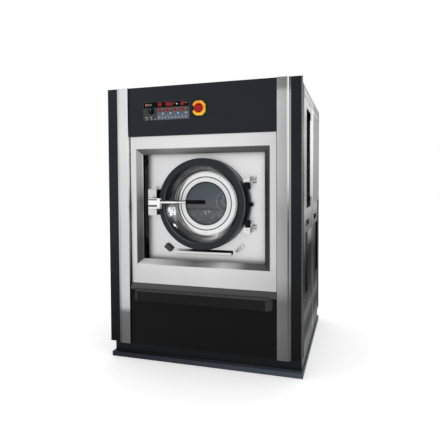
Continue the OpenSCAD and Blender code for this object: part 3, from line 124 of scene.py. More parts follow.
class NodeBook:
    """Builds the node tree of one material round a Principled shader."""

    def __init__(self, name: str) -> None:
        """Starts a material with a shader, an output and the machine's own coordinates.

        Args:
            name: the material's name.
        """
        self.material = bpy.data.materials.new(name)
        self.material.use_nodes = True
        self.tree = self.material.node_tree
        self.tree.nodes.clear()
        self.shader = self.add("ShaderNodeBsdfPrincipled")
        output = self.add("ShaderNodeOutputMaterial")
        self.link(self.shader.outputs["BSDF"], output.inputs["Surface"])
        self.place = self.add("ShaderNodeTexCoord").outputs["Object"]
        split = self.add("ShaderNodeSeparateXYZ")
        self.link(self.place, split.inputs[0])
        self.parts = split.outputs

    def add(self, kind: str) -> bpy.types.Node:
        """Adds a node of a kind."""
        return self.tree.nodes.new(kind)

    def link(self, source: Socket, target: Socket) -> None:
        """Links an output to an input."""
        self.tree.links.new(source, target)

    def feed(self, target: Socket, value: Socket | float | Colour) -> None:
        """Links an output to an input, or writes a plain value there."""
        if isinstance(value, bpy.types.NodeSocket):
            self.link(value, target)
        else:
            target.default_value = value

    def drive(self, key: str, source: Socket) -> None:
        """Links an output to one of the shader's own inputs."""
        self.link(source, self.shader.inputs[key])

    def set(self, **values: float) -> None:
        """Sets plain values on the shader's own sockets, named with _ for a space."""
        for key, value in values.items():
            self.shader.inputs[key.replace("_", " ")].default_value = value

    def part(self, axis: Axis) -> Socket:
        """Gives one coordinate of the place."""
        return self.parts[axis.value]

    def math(self, operation: str, first: Socket | float, second: Socket | float = 0.0) -> Socket:
        """Adds a Math node.

        Args:
            operation: Blender's name of the operation.
            first: the first number or socket.
            second: the second number or socket.

        Returns:
            The result's socket.
        """
        node = self.add("ShaderNodeMath")
        node.operation = operation
        for target, value in zip(node.inputs, (first, second)):
            self.feed(target, value)
        return node.outputs[0]

    def plus(self, first: Socket, second: Socket | float) -> Socket:
        """Adds two values."""
        return self.math("ADD", first, second)

    def minus(self, first: Socket, second: Socket | float) -> Socket:
        """Takes the second value off the first."""
        return self.math("SUBTRACT", first, second)

    def times(self, first: Socket, second: Socket | float) -> Socket:
        """Multiplies two values, or keeps what two masks share."""
        return self.math("MULTIPLY", first, second)

    def most(self, first: Socket | float, second: Socket | float) -> Socket:
        """Gives the larger of two values."""
        return self.math("MAXIMUM", first, second)

    def off(self, value: Socket, middle: float) -> Socket:
        """Gives how far a value lies from a middle, either way."""
        return self.math("ABSOLUTE", self.minus(value, middle))

    def past(self, axis: Axis, edge: float) -> Socket:
        """Gives 1 beyond a place along an axis, and 0 before it."""
        return self.math("GREATER_THAN", self.part(axis), edge)

    def before(self, axis: Axis, edge: float) -> Socket:
        """Gives 1 before a place along an axis, and 0 beyond it."""
        return self.math("LESS_THAN", self.part(axis), edge)

    def vector(self, *values: Socket | float) -> Socket:
        """Joins up to three values into a vector."""
        node = self.add("ShaderNodeCombineXYZ")
        for target, value in zip(node.inputs, values):
            self.feed(target, value)
        return node.outputs[0]

    def span(self, value: Socket, low: float, high: float, out_low: float = 0.0,
             out_high: float = 1.0) -> Socket:
        """Maps a range of a value onto another, held at its ends.

        Args:
            value: the socket that is read.
            low: the value at the range's start.
            high: the value at its end.
            out_low: what the start becomes.
            out_high: what the end becomes.

        Returns:
            The mapped value's socket.
        """
        node = self.add("ShaderNodeMapRange")
        self.link(value, node.inputs["Value"])
        for key, number in (("From Min", low), ("From Max", high), ("To Min", out_low),
                            ("To Max", out_high)):
            node.inputs[key].default_value = number
        return node.outputs[0]

    def line(self, off: Socket, core: float, edge: float, strength: float = 1.0) -> Socket:
        """Gives a soft line or patch: full at its core, and gone at its edge."""
        return self.span(off, core, edge, strength, 0.0)

    def noise(self, scale: float, detail: float = 4.0, rough: float = 0.55,
              stretch: Point | None = None, vector: Socket | None = None) -> Socket:
        """Adds a noise pattern.

        Args:
            scale: how many cells there are to a metre.
            detail: the number of octaves.
            rough: how strong the fine octaves are.
            stretch: the scale along each axis, or None for the same all ways.
            vector: the place that it reads, or None for the object's.

        Returns:
            The pattern's socket, 0 to 1 about 0.5.
        """
        source = vector or self.place
        if stretch is not None:
            mapping = self.add("ShaderNodeMapping")
            mapping.inputs["Scale"].default_value = stretch
            self.link(source, mapping.inputs["Vector"])
            source = mapping.outputs[0]
        node = self.add("ShaderNodeTexNoise")
        self.link(source, node.inputs["Vector"])
        for key, number in (("Scale", scale), ("Detail", detail), ("Roughness", rough)):
            node.inputs[key].default_value = number
        return node.outputs["Fac"]

    def ramp(self, value: Socket, stops: Sequence[tuple[float, Colour]]) -> Socket:
        """Colours a value by stops that stand at real values.

        Args:
            value: the socket that is read.
            stops: pairs of value and linear colour, the lowest first.

        Returns:
            The colour's socket.
        """
        node = self.add("ShaderNodeValToRGB")
        points = node.color_ramp.elements
        low, high = stops[0][0], stops[-1][0]
        for index, (at, colour) in enumerate(stops):
            share = (at - low) / (high - low)
            point = points[index] if index < 2 else points.new(share)
            point.position = share
            point.color = colour
        self.link(self.span(value, low, high), node.inputs["Fac"])
        return node.outputs["Color"]

    def tones(self, value: Socket, stops: Stops) -> Socket:
        """Colours a value by grey levels, as seen."""
        return self.ramp(value, [(at, tone(level)) for at, level in stops])

    def levels(self, axis: Axis, stops: Stops) -> Socket:
        """Colours the piece by grey levels, as seen, along one coordinate."""
        return self.tones(self.part(axis), stops)

    def mix(self, share: Socket | float, first: Socket | Colour, second: Socket | Colour,
            blend: str = "MIX", kind: MixKind = MixKind.RGBA) -> Socket:
        """Mixes two colours or directions.

        Args:
            share: the part of the second one, as a number or a socket.
            first: the first one, as a value or a socket.
            second: the second one, as a value or a socket.
            blend: Blender's name of the way of mixing.
            kind: whether colours or directions are mixed.

        Returns:
            The mixed one's socket.
        """
        node = self.add("ShaderNodeMix")
        node.data_type = kind.name
        node.blend_type = blend
        one, other, result = kind.value
        for index, value in ((0, share), (one, first), (other, second)):
            self.feed(node.inputs[index], value)
        return node.outputs[result]

    def dim(self, colour: Socket | Colour, level: Socket) -> Socket:
        """Multiplies a colour by a level."""
        grey = self.add("ShaderNodeCombineColor")
        for target in grey.inputs[:3]:
            self.link(level, target)
        return self.mix(1.0, colour, grey.outputs[0], "MULTIPLY")

    def shade_by(self, colour: Socket | Colour, pattern: Socket, low: float,
                 high: float) -> Socket:
        """Multiplies a colour by a noise pattern that runs from low to high."""
        return self.dim(colour, self.span(pattern, *NOISE_SPAN, low, high))

    def bump(self, height: Socket, strength: float, distance: float) -> None:
        """Makes the surface rise and fall with a pattern."""
        node = self.add("ShaderNodeBump")
        node.inputs["Strength"].default_value = strength
        node.inputs["Distance"].default_value = distance
        self.link(height, node.inputs["Height"])
        self.drive("Normal", node.outputs[0])

    def rough(self, pattern: Socket, low: float, high: float) -> None:
        """Lets the roughness vary with a noise pattern between two values."""
        self.drive("Roughness", self.span(pattern, *NOISE_SPAN, low, high))

    def metal(self, metallic: Socket | float, start: float, end: float) -> None:
        """Makes a metal that loses its shine where it is seen from along its face.

        Args:
            metallic: how metallic it is where it is faced.
            start: how far it turns away, 0 to 1, before the shine starts to fall.
            end: how far it turns away where the shine is gone.
        """
        facing = self.add("ShaderNodeLayerWeight").outputs["Facing"]
        kept = self.line(facing, start, end)
        self.drive("Metallic", self.times(kept, metallic))
        self.drive("Specular IOR Level", self.times(kept, PLAIN_SHINE))

    def lean(self, share: Socket | float, aim: Socket) -> None:
        """Leans the surface's own normal towards a direction, as a wave in the sheet does.

        Args:
            share: how far it leans, 0 to 1.
            aim: the direction in the machine's axes.
        """
        turned = self.add("ShaderNodeVectorTransform")
        turned.vector_type = "NORMAL"
        turned.convert_from, turned.convert_to = "OBJECT", "WORLD"
        self.link(aim, turned.inputs[0])
        own = self.add("ShaderNodeNewGeometry").outputs["Normal"]
        unit = self.add("ShaderNodeVectorMath")
        unit.operation = "NORMALIZE"
        self.link(self.mix(share, own, turned.outputs[0], kind=MixKind.VECTOR), unit.inputs[0])
        self.drive("Normal", unit.outputs[0])

    def reach(self, x: float, z: float) -> Socket:
        """Gives the distance from a line that runs to the rear at the given place."""
        across = self.minus(self.part(Axis.X), x)
        up = self.minus(self.part(Axis.Z), z)
        return self.math("SQRT", self.plus(self.times(across, across), self.times(up, up)))

    def radius_and_turn(self) -> tuple[Socket, Socket]:
        """Gives the distance from the door's axis and the turn round it.

        Returns:
            The radius in metres, and the turn from 0 at the top over 0.25 at the right to 1.
        """
        up = self.minus(self.part(Axis.Z), DOOR_Z)
        angle = self.math("ARCTAN2", self.part(Axis.X), up)
        turn = self.math("FRACT", self.plus(self.math("DIVIDE", angle, 2 * math.pi), 1.0))
        return self.reach(0.0, DOOR_Z), turn


@dataclass(frozen=True)
class Finish:
    """What every finish has: a name, and how its material is made once and then shared."""

    name: str

    def make(self, book: NodeBook) -> None:
        """Fills the node tree; each kind of finish has its own way."""
        raise NotImplementedError

    @functools.cache
    def material(self) -> bpy.types.Material:
        """Gives the finish's material, which is made once and then shared."""
        book = NodeBook(self.name)
        self.make(book)
        return book.material

    def dress(self, piece: bpy.types.Object) -> None:
        """Puts the material on a piece in place of what it has."""
        piece.data.materials.clear()
        piece.data.materials.append(self.material())

    def dress_nodes(self, *names: str) -> None:
        """Puts the material on the material slots of CAD nodes."""
        for name in names:
            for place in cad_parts[name].material_slots:
                place.material = self.material()
            LOG.info("node %s: %s", name, self.name)


@dataclass(frozen=True)
class PaintFinish(Finish):
    """Powder coat: fine orange peel, its colour changed with height by painted light and shade."""

    level: Level
    low_level: Level | None = None
    low_z: float = 0.15
    high_z: float = 1.2
    roughness: float = 0.42
    peel: float = 0.12
    sheen: float = 0.10
    fade: float = 1.0
    glint: ClassVar[float] = 0.085
    darkest: ClassVar[float] = 0.0015

    def body_colour(self, level: Level) -> Colour:
        """Takes the white room's glint off a colour, so that both together give the level.

        Args:
            level: the level of each channel as seen.

        Returns:
            The linear colour of the paint itself.
        """
        glint = self.glint * self.sheen
        return (*(max(self.darkest, value - glint) for value in seen(*level)[:3]), 1.0)

    def make(self, book: NodeBook) -> None:
        """Fills the node tree.

        Args:
            book: the material's tree.
        """
        wear = book.noise(scale=7.0, detail=3.0)
        # painted light and shade: the colour runs from low_level at low_z to level at high_z
        base = book.ramp(book.part(Axis.Z), (
            (self.low_z, self.body_colour(self.low_level or self.level)),
            (self.high_z, self.body_colour(self.level))))
        # painted shade: fade darkens the colour towards the right
        if self.fade != 1.0:
            base = book.dim(base, book.span(book.part(Axis.X), -HALF_WIDTH, HALF_WIDTH, 1.0,
                                            self.fade))
        book.drive("Base Color", book.shade_by(self.special(book, base), wear, 0.95, 1.05))
        book.rough(book.noise(scale=40, detail=3.0), self.roughness - 0.05,
                   self.roughness + 0.06)
        book.bump(book.noise(scale=900, detail=2.0), self.peel, 0.0004)
        book.set(Specular_IOR_Level=self.sheen)

    def special(self, book: NodeBook, base: Socket) -> Socket:
        """Gives a kind of paint its own extra areas; plain paint has none."""
        return base


@dataclass(frozen=True)
class FramePaint(PaintFinish):
    """The base frame's paint, with painted light on the sides and on the right end of its flange.
    """

    side_level: Level = (78, 80, 82)
    flange_right: Level = (78, 84, 93)
    flange_span: tuple[float, float] = (-0.50, 0.60)
    corner_x: float = 0.60
    corner_y: float = FRONT + 0.075

    def special(self, book: NodeBook, base: Socket) -> Socket:
        """Paints light on the flange's right end and on the faces beyond the front's corners.

        Args:
            book: the material's tree.
            base: the paint's colour so far.

        Returns:
            The colour with these areas.
        """
        righter = book.times(book.before(Axis.Z, self.high_z),
                             book.span(book.part(Axis.X), *self.flange_span))
        base = book.mix(righter, base, self.body_colour(self.flange_right))
        outer = book.math("GREATER_THAN", book.off(book.part(Axis.X), 0.0), self.corner_x)
        beyond = book.times(outer, book.past(Axis.Y, self.corner_y))
        return book.mix(beyond, base, self.body_colour(self.side_level))


@dataclass(frozen=True)
class EdgePaint(PaintFinish):
    """Paint with a painted light on an edge strip beyond a distance from the middle."""

    edge_from: float = 0.672
    edge_blur: float = 0.001
    edge: Stops = ((0.11, 78), (0.80, 78), (1.50, 124), (1.90, 124))
    edge_top: float = 3.0

    def special(self, book: NodeBook, base: Socket) -> Socket:
        """Mixes in the edge strip's painted light, which darkens towards the floor.

        Args:
            book: the material's tree.
            base: the paint's colour so far.

        Returns:
            The colour with these areas.
        """
        side = book.off(book.part(Axis.X), 0.0)
        strip = book.times(book.span(side, self.edge_from - self.edge_blur, self.edge_from),
                           book.before(Axis.Z, self.edge_top))
        return book.mix(strip, base, book.levels(Axis.Z, self.edge))


@dataclass(frozen=True)
class RingPaint(PaintFinish):
    """The door ring's paint, with thin painted highlights along its two rounded edges.

    A painted highlight is its radius and the turns at which it starts and ends.
    """

    lights: tuple[tuple[float, float, float], ...] = ((0.2685, 0.50, 0.84), (0.3045, 0.12, 0.42))
    highlight_level: float = 116
    strength: float = 0.75
    core: float = 0.0008
    edge: float = 0.0032
    steady: float = 0.32

    def special(self, book: NodeBook, base: Socket) -> Socket:
        """Paints the inner highlight at the lower left and the outer one at the right.

        Args:
            book: the material's tree.
            base: the paint's colour so far.

        Returns:
            The colour with these areas.
        """
        radius, turn = book.radius_and_turn()
        for place, start, end in self.lights:
            line = book.line(book.off(radius, place), self.core, self.edge, self.strength)
            length = end - start
            reach = book.line(book.off(turn, (start + end) / 2), length * self.steady, length / 2)
            base = book.mix(book.times(line, reach), base, tone(self.highlight_level))
        return base


@dataclass(frozen=True)
class BrushedFinish(Finish):
    """Brushed stainless sheet with fine lines, and painted reflection and shade along an axis."""

    stops: Stops
    axis: Axis = Axis.Z
    grain: Grain = Grain.ACROSS
    roughness: float = 0.34
    metal: float = 0.85
    line_depth: float = 0.05
    cloud: float = 0.03
    dull_along: bool = False

    def base(self, book: NodeBook) -> Socket:
        """Gives the sheet's painted reflection and shade before its lines."""
        return book.levels(self.axis, self.stops)

    def lines(self, book: NodeBook) -> Socket:
        """Gives the brush lines, which run straight or round the door's axis.

        Args:
            book: the material's tree.

        Returns:
            The lines' pattern.
        """
        if self.grain is not Grain.TURNED:
            return book.noise(1.0, rough=0.7, stretch=self.grain.value)
        radius, _ = book.radius_and_turn()
        rings = book.vector(book.times(radius, self.grain.value[0]))
        return book.noise(1.0, detail=3.0, rough=0.6, vector=rings)

    def make(self, book: NodeBook) -> None:
        """Fills the node tree.

        Args:
            book: the material's tree.
        """
        lines = self.lines(book)
        cloud = book.noise(scale=2.5, detail=2.0)
        colour = book.shade_by(self.base(book), lines, 1 - self.line_depth, 1 + self.line_depth)
        book.drive("Base Color", book.shade_by(colour, cloud, 1 - self.cloud, 1 + self.cloud))
        book.rough(lines, self.roughness - 0.06, self.roughness + 0.08)
        book.bump(lines, 0.10, 0.0002)
        if self.dull_along:
            book.metal(self.metal, 0.74, 0.87)
        else:
            book.set(Metallic=self.metal)


@dataclass(frozen=True)
class PanelFinish(BrushedFinish):
    """The front panel: a painted reflection along X, and painted shade towards the floor."""

    fall: Stops = ((0.60, 226), (0.72, 240), (1.10, 248), (1.46, 255))

    def base(self, book: NodeBook) -> Socket:
        """Multiplies the painted reflection along X by the painted shade along Z."""
        return book.mix(1.0, super().base(book), book.levels(Axis.Z, self.fall), "MULTIPLY")


@dataclass(frozen=True)
class PlateFinish(BrushedFinish):
    """The sunk tub plate, whose slight dish turns it to the open front."""

    aside: float = 0.17
    lift: float = 0.10
    drop: float = -0.04
    heights: tuple[float, float] = (0.68, 1.45)

    def make(self, book: NodeBook) -> None:
        """Makes the sheet and turns its normal.

        Args:
            book: the material's tree.
        """
        super().make(book)
        up = book.span(book.part(Axis.Z), *self.heights, self.lift, self.drop)
        book.lean(1.0, book.vector(self.aside, -1.0, up))


@dataclass(frozen=True)
class SideFinish(BrushedFinish):
    """A steel side: front strip, middle and rear, each with its own painted reflection and shade.
    """

    front_stops: Stops = (
        (0.11, 78), (0.25, 88), (0.36, 100), (0.46, 86), (0.60, 56), (0.75, 66),
        (0.95, 96), (1.05, 104), (1.15, 92), (1.35, 118), (1.55, 162), (1.65, 140),
        (1.75, 118), (1.87, 116))
    rear_stops: Stops = (
        (0.11, 60), (0.60, 76), (1.05, 54), (1.15, 50), (1.45, 90), (1.75, 104),
        (1.82, 190), (1.87, 190))
    strip: tuple[float, float] = (FRONT + 0.096, FRONT + 0.100)
    rear: tuple[float, float] = (FRONT + 1.120, FRONT + 1.180)
    edge: tuple[float, float] = (FRONT + 1.275, FRONT + 1.285)
    edge_level: float = 126

    def base(self, book: NodeBook) -> Socket:
        """Joins the strips by their depth.

        Args:
            book: the material's tree.

        Returns:
            The tone's socket.
        """
        deep = book.part(Axis.Y)
        tones = book.levels(Axis.Z, self.front_stops)
        tones = book.mix(book.span(deep, *self.strip), tones, book.levels(Axis.Z, self.stops))
        tones = book.mix(book.span(deep, *self.rear), tones, book.levels(Axis.Z, self.rear_stops))
        return book.mix(book.span(deep, *self.edge), tones, tone(self.edge_level))


@dataclass(frozen=True)
class CoverFinish(BrushedFinish):
    """The covers on the side: painted reflection, bright on the middle ones, plainer on the rear.
    """

    rear_stops: Stops = (
        (0.11, 84), (0.45, 72), (0.70, 54), (0.95, 104), (1.10, 160), (1.50, 176),
        (1.86, 176))
    dark_stops: Stops = (
        (0.48, 64), (0.70, 50), (0.80, 58), (0.88, 150), (1.30, 210), (1.86, 230))
    part: float = FRONT + 0.735
    shade_end: float = FRONT + 0.570
    shade_top: float = 0.95

    def base(self, book: NodeBook) -> Socket:
        """Tells the covers apart by their depth, with a painted shade on the low front part.

        Args:
            book: the material's tree.

        Returns:
            The tone's socket.
        """
        shade = book.times(book.before(Axis.Z, self.shade_top),
                           book.before(Axis.Y, self.shade_end))
        near = book.mix(shade, super().base(book), book.levels(Axis.Z, self.dark_stops))
        return book.mix(book.past(Axis.Y, self.part), near, book.levels(Axis.Z, self.rear_stops))


@dataclass(frozen=True)
class GutterFinish(BrushedFinish):
    """The gutter under the door: a bright lip before a channel painted dark as shade."""

    lip: float = FRONT + 0.1035
    bracket: float = 0.192
    inside: Stops = ((-0.226, 205), (-0.16, 190), (-0.11, 60), (-0.05, 10), (0.12, 16),
                     (0.19, 60))

    def base(self, book: NodeBook) -> Socket:
        """Paints shade on what lies behind the lip, but not on the bracket at the right end.

        Args:
            book: the material's tree.

        Returns:
            The tone's socket.
        """
        behind = book.times(book.past(Axis.Y, self.lip), book.before(Axis.X, self.bracket))
        return book.mix(behind, super().base(book), book.levels(Axis.X, self.inside))


@dataclass(frozen=True)
class ClampFinish(BrushedFinish):
    """The clamp ring: two satin bands, painted shade in its groove and its rolled edge's crescent.
    """

    groove: float = 0.1845
    half_width: float = 0.0034
    groove_shade_level: float = 30
    groove_blur: float = 0.002
    inner_gain: float = 0.90
    crescent: float = 0.1975
    crescent_turn: float = 0.735
    crescent_half_turn: float = 0.2
    crescent_rise: float = 0.021
    crescent_blur: float = 0.0016
    crescent_shade_level: float = 92
    roll: float = 0.2125
    roll_core: float = 0.0010
    roll_edge: float = 0.0024
    roll_highlight_level: float = 176

    def base(self, book: NodeBook) -> Socket:
        """Tones the bands along X; paints shade in crescent and groove, and a rolled highlight.

        Args:
            book: the material's tree.

        Returns:
            The tone's socket.
        """
        radius, turn = book.radius_and_turn()
        gain = book.span(radius, self.groove - self.groove_blur, self.groove, self.inner_gain, 1.0)
        bands = book.dim(super().base(book), gain)
        aside = book.math("DIVIDE", book.minus(turn, self.crescent_turn), self.crescent_half_turn)
        start = book.times(book.times(aside, aside), self.crescent_rise)
        beyond = book.minus(book.minus(radius, self.crescent), start)
        dark = book.mix(book.span(book.off(radius, self.roll), self.roll_core, self.roll_edge),
                        tone(self.roll_highlight_level), tone(self.crescent_shade_level))
        bands = book.mix(book.span(beyond, 0.0, self.crescent_blur), bands, dark)
        in_groove = book.math("LESS_THAN", book.off(radius, self.groove), self.half_width)
        return book.mix(in_groove, bands, tone(self.groove_shade_level))


@dataclass(frozen=True, kw_only=True)
class TrimFinish(BrushedFinish):
    """The upright trims: wall, face, fold's highlight and the bevel beyond, all painted reflection.
    """

    wall_stops: Stops
    fold_stops: Stops
    bevel_stops: Stops
    wall: tuple[float, float] = (0.5199, 0.5204)
    face: tuple[float, float] = (0.520, 0.584)
    fold: tuple[float, float] = (0.584, 0.589)
    bevel: tuple[float, float] = (0.592, 0.595)
    fall: float = 0.80

    def base(self, book: NodeBook) -> Socket:
        """Joins the strips by distance from the middle; painted shade darkens the face outwards.

        Args:
            book: the material's tree.

        Returns:
            The tone's socket.
        """
        side = book.off(book.part(Axis.X), 0.0)
        tones = book.dim(super().base(book), book.span(side, *self.face, 1.0, self.fall))
        for edge, stops in ((self.fold, self.fold_stops), (self.bevel, self.bevel_stops)):
            tones = book.mix(book.span(side, *edge), tones, book.levels(Axis.Z, stops))
        return book.mix(book.span(side, *self.wall), book.levels(Axis.Z, self.wall_stops), tones)


@dataclass(frozen=True)
class BezelFinish(BrushedFinish):
    """The four mitred slopes round the opening, each with its own painted reflection.

    The top slope has the sheet's own stops.
    """

    half_width: float = 0.471
    half_height: float = 0.402
    middle_z: float = 1.078
    fold: tuple[float, float] = (-0.036, -0.032)
    fold_gain: float = 1.9
    bottom: Stops = ((-0.47, 212), (-0.35, 196), (-0.19, 156), (-0.05, 108),
                     (0.06, 140), (0.15, 190), (0.24, 156), (0.31, 94), (0.47, 62))
    left: Stops = ((0.68, 66), (0.84, 66), (1.04, 100), (1.20, 138), (1.30, 154),
                   (1.48, 160))
    right: Stops = ((0.68, 84), (1.10, 88), (1.48, 92))

    def base(self, book: NodeBook) -> Socket:
        """Tells the slopes apart by mitre and paints their reflections, with a left inner
        highlight.

        Args:
            book: the material's tree.

        Returns:
            The tone's socket.
        """
        over = book.minus(book.off(book.part(Axis.Z), self.middle_z), self.half_height)
        beside = book.minus(book.off(book.part(Axis.X), 0.0), self.half_width)
        level_bars = book.math("GREATER_THAN", book.minus(over, beside), 0.0)
        across = book.mix(book.past(Axis.Z, self.middle_z), book.levels(Axis.X, self.bottom),
                          super().base(book))
        folded = book.dim(book.levels(Axis.Z, self.left),
                          book.span(beside, *self.fold, self.fold_gain, 1.0))
        upright = book.mix(book.past(Axis.X, 0.0), folded, book.levels(Axis.Z, self.right))
        return book.mix(level_bars, upright, across)


@dataclass(frozen=True)
class BowlFinish(Finish):
    """Polished dish: a painted reflection of the room, streaked out from the middle.

    The painted reflection goes round by the turn from the top: one row for the lip, one for the
    middle and one for the floor. A glint is a painted highlight on a leaned normal: its turn, its
    half turn, its radius and its half width.
    """

    lip: Stops = (
        (0.0, 46), (0.06, 48), (0.12, 36), (0.33, 40), (0.40, 62), (0.45, 90),
        (0.49, 62), (0.54, 50), (0.60, 44), (0.655, 56), (0.69, 110), (0.71, 190),
        (0.73, 130), (0.76, 40), (0.90, 46), (1.0, 46))
    middle: Stops = (
        (0.0, 96), (0.05, 134), (0.10, 70), (0.15, 44), (0.34, 44), (0.38, 104),
        (0.42, 156), (0.45, 204), (0.48, 150), (0.52, 100), (0.58, 70), (0.66, 96),
        (0.69, 210), (0.71, 252), (0.73, 230), (0.755, 70), (0.80, 50), (0.84, 100),
        (0.88, 90), (0.95, 92), (1.0, 96))
    floor: Stops = (
        (0.0, 84), (0.04, 140), (0.09, 130), (0.13, 58), (0.34, 52), (0.40, 140),
        (0.45, 206), (0.49, 112), (0.54, 96), (0.60, 70), (0.66, 90), (0.69, 170),
        (0.71, 224), (0.73, 170), (0.755, 60), (0.80, 56), (0.84, 90), (0.95, 80),
        (1.0, 84))
    glints: tuple[tuple[float, float, float, float], ...] = (
        (0.713, 0.026, 0.243, 0.017), (0.646, 0.016, 0.2535, 0.0042),
        (0.447, 0.013, 0.240, 0.013))
    glint_core: float = 0.6
    glint_level: float = 248
    lip_radius: float = 0.262
    floor_radius: float = 0.224
    step_blur: float = 0.0005
    step_level: float = 214
    edge_radius: float = 0.2285
    edge_turn: float = 0.70
    edge_level: float = 250
    warp: float = 0.03
    waver: float = 0.3
    dish: float = -1.3

    def streaks(self, book: NodeBook, radius: Socket, turn: Socket, cells: tuple[float, float],
                detail: float, rough: float) -> Socket:
        """Adds a noise that runs out from the middle.

        Args:
            book: the material's tree.
            radius: the distance from the axis.
            turn: the turn round it.
            cells: how many cells there are to a turn and to a metre of radius.
            detail: the number of octaves.
            rough: how strong the fine octaves are.

        Returns:
            The pattern's socket.
        """
        place = book.vector(book.times(turn, cells[0]), book.times(radius, cells[1]))
        return book.noise(1.0, detail, rough, vector=place)

    def glint_mask(self, book: NodeBook, radius: Socket, turn: Socket, streaks: Socket) -> Socket:
        """Marks the glint patches, painted highlight on a leaned normal, broken by the streaks.

        Args:
            book: the material's tree.
            radius: the distance from the axis.
            turn: the turn round it.
            streaks: the streaks' pattern.

        Returns:
            1 in the patches, and 0 elsewhere.
        """
        mask: Socket | float = 0.0
        for at, half_turn, middle, half_width in self.glints:
            aside = book.line(book.off(turn, at), half_turn * self.glint_core, half_turn)
            out = book.line(book.off(radius, middle), half_width * self.glint_core, half_width)
            mask = book.most(mask, book.times(aside, out))
        fine = self.streaks(book, radius, turn, (70, 210), 3.0, 0.6)
        both = book.plus(book.times(streaks, 0.4), book.times(fine, 0.6))
        return book.times(mask, book.span(both, 0.41, 0.55))

    def tones(self, book: NodeBook, radius: Socket, turn: Socket, streaks: Socket) -> Socket:
        """Joins the three rows by the radius, and adds the floor's step and its lit edge.

        Args:
            book: the material's tree.
            radius: the distance from the axis.
            turn: the turn round it.
            streaks: the streaks' pattern.

        Returns:
            The tone's socket.
        """
        sway = book.minus(streaks, 0.5)
        bent = book.plus(turn, book.times(sway, self.warp))
        lip, middle, floor = (book.tones(bent, row) for row in (self.lip, self.middle, self.floor))
        deep = book.plus(book.span(radius, self.lip_radius, self.floor_radius),
                         book.times(sway, self.waver))
        tones = book.mix(book.span(deep, 0.15, 0.45), lip, middle)
        tones = book.mix(book.span(deep, 0.55, 0.80), tones, floor)
        step = book.span(radius, self.floor_radius + self.step_blur,
                         self.floor_radius - self.step_blur)
        tones = book.mix(step, tones, tone(self.step_level))
        edge = book.times(book.line(book.off(radius, self.edge_radius), 0.0008, 0.0024, 0.8),
                          book.line(book.off(turn, self.edge_turn), 0.10, 0.18))
        return book.mix(edge, tones, tone(self.edge_level))

    def make(self, book: NodeBook) -> None:
        """Fills the node tree.

        Args:
            book: the material's tree.
        """
        radius, turn = book.radius_and_turn()
        streaks = self.streaks(book, radius, turn, (24, 110), 5.0, 0.65)
        tones = book.shade_by(self.tones(book, radius, turn, streaks), streaks, 0.55, 1.5)
        mask = self.glint_mask(book, radius, turn, streaks)
        book.drive("Base Color", book.mix(mask, tones, tone(self.glint_level)))
        up = book.minus(book.part(Axis.Z), DOOR_Z)
        book.lean(mask, book.vector(book.times(book.part(Axis.X), self.dish), -1.0,
                                    book.times(up, self.dish)))
        book.rough(streaks, 0.12, 0.26)
        book.metal(book.span(mask, 0.0, 1.0, 0.55, 1.0), 0.50, 0.70)


@dataclass(frozen=True)
class PolishedFinish(Finish):
    """Bright turned or cast steel with dark and light patches of a polished surface."""

    level: float
    dark: float
    scale: float
    roughness: float = 0.18

    def base(self, book: NodeBook) -> Socket | Colour:
        """Gives the tone before its patches."""
        return tone(self.level)

    def make(self, book: NodeBook) -> None:
        """Fills the node tree.

        Args:
            book: the material's tree.
        """
        patches = book.noise(self.scale, detail=3.0, rough=0.6)
        book.drive("Base Color", book.shade_by(self.base(book), patches, self.dark, 1.15))
        book.rough(book.noise(scale=120), self.roughness - 0.06, self.roughness + 0.08)
        book.set(Metallic=0.9)


@dataclass(frozen=True)
class LeverFinish(PolishedFinish):
    """The lever: a painted highlight along its core between painted dark reflections."""

    fall: Stops = ((-0.015, 84), (-0.009, 150), (-0.004, 236), (0.004, 250),
                   (0.008, 170), (0.013, 40))
    middle: float = DOOR_Z + 0.012
    hub_end: float = -0.300

    def base(self, book: NodeBook) -> Socket | Colour:
        """Paints the arm's highlight and reflections by its height and leaves the hub plain."""
        fall = book.tones(book.minus(book.part(Axis.Z), self.middle), self.fall)
        return book.mix(book.past(Axis.X, self.hub_end), tone(self.level), fall)


@dataclass(frozen=True)
class ScrewFinish(PolishedFinish):
    """Screws: blackened in the painted front, bare zinc elsewhere and darker at the rear."""

    front_level: float = 44
    front_end: float = FRONT + 0.02
    rear_level: float = 96
    rear_start: float = FRONT + 1.30

    def base(self, book: NodeBook) -> Socket | Colour:
        """Tells the screws apart by their depth.

        Args:
            book: the material's tree.

        Returns:
            The tone's socket.
        """
        zinc = book.mix(book.past(Axis.Y, self.rear_start), tone(self.level),
                        tone(self.rear_level))
        return book.mix(book.before(Axis.Y, self.front_end), zinc, tone(self.front_level))


@dataclass(frozen=True)
class PlasticFinish(Finish):
    """Moulded plastic with a fine texture."""

    level: Level
    roughness: float = 0.45
    texture: float = 1400
    coat: float = 0.0
    sheen: float = 0.12

    def base(self, book: NodeBook) -> Socket | Colour:
        """Gives the colour before its texture."""
        return seen(*self.level)

    def make(self, book: NodeBook) -> None:
        """Fills the node tree.

        Args:
            book: the material's tree.
        """
        mottle = book.noise(scale=12, detail=3.0)
        book.drive("Base Color", book.shade_by(self.base(book), mottle, 0.93, 1.07))
        book.rough(book.noise(scale=60, detail=3.0), self.roughness - 0.05,
                   self.roughness + 0.07)
        book.bump(book.noise(self.texture, detail=2.0), 0.10, 0.0003)
        book.set(Coat_Weight=self.coat, Specular_IOR_Level=self.sheen)


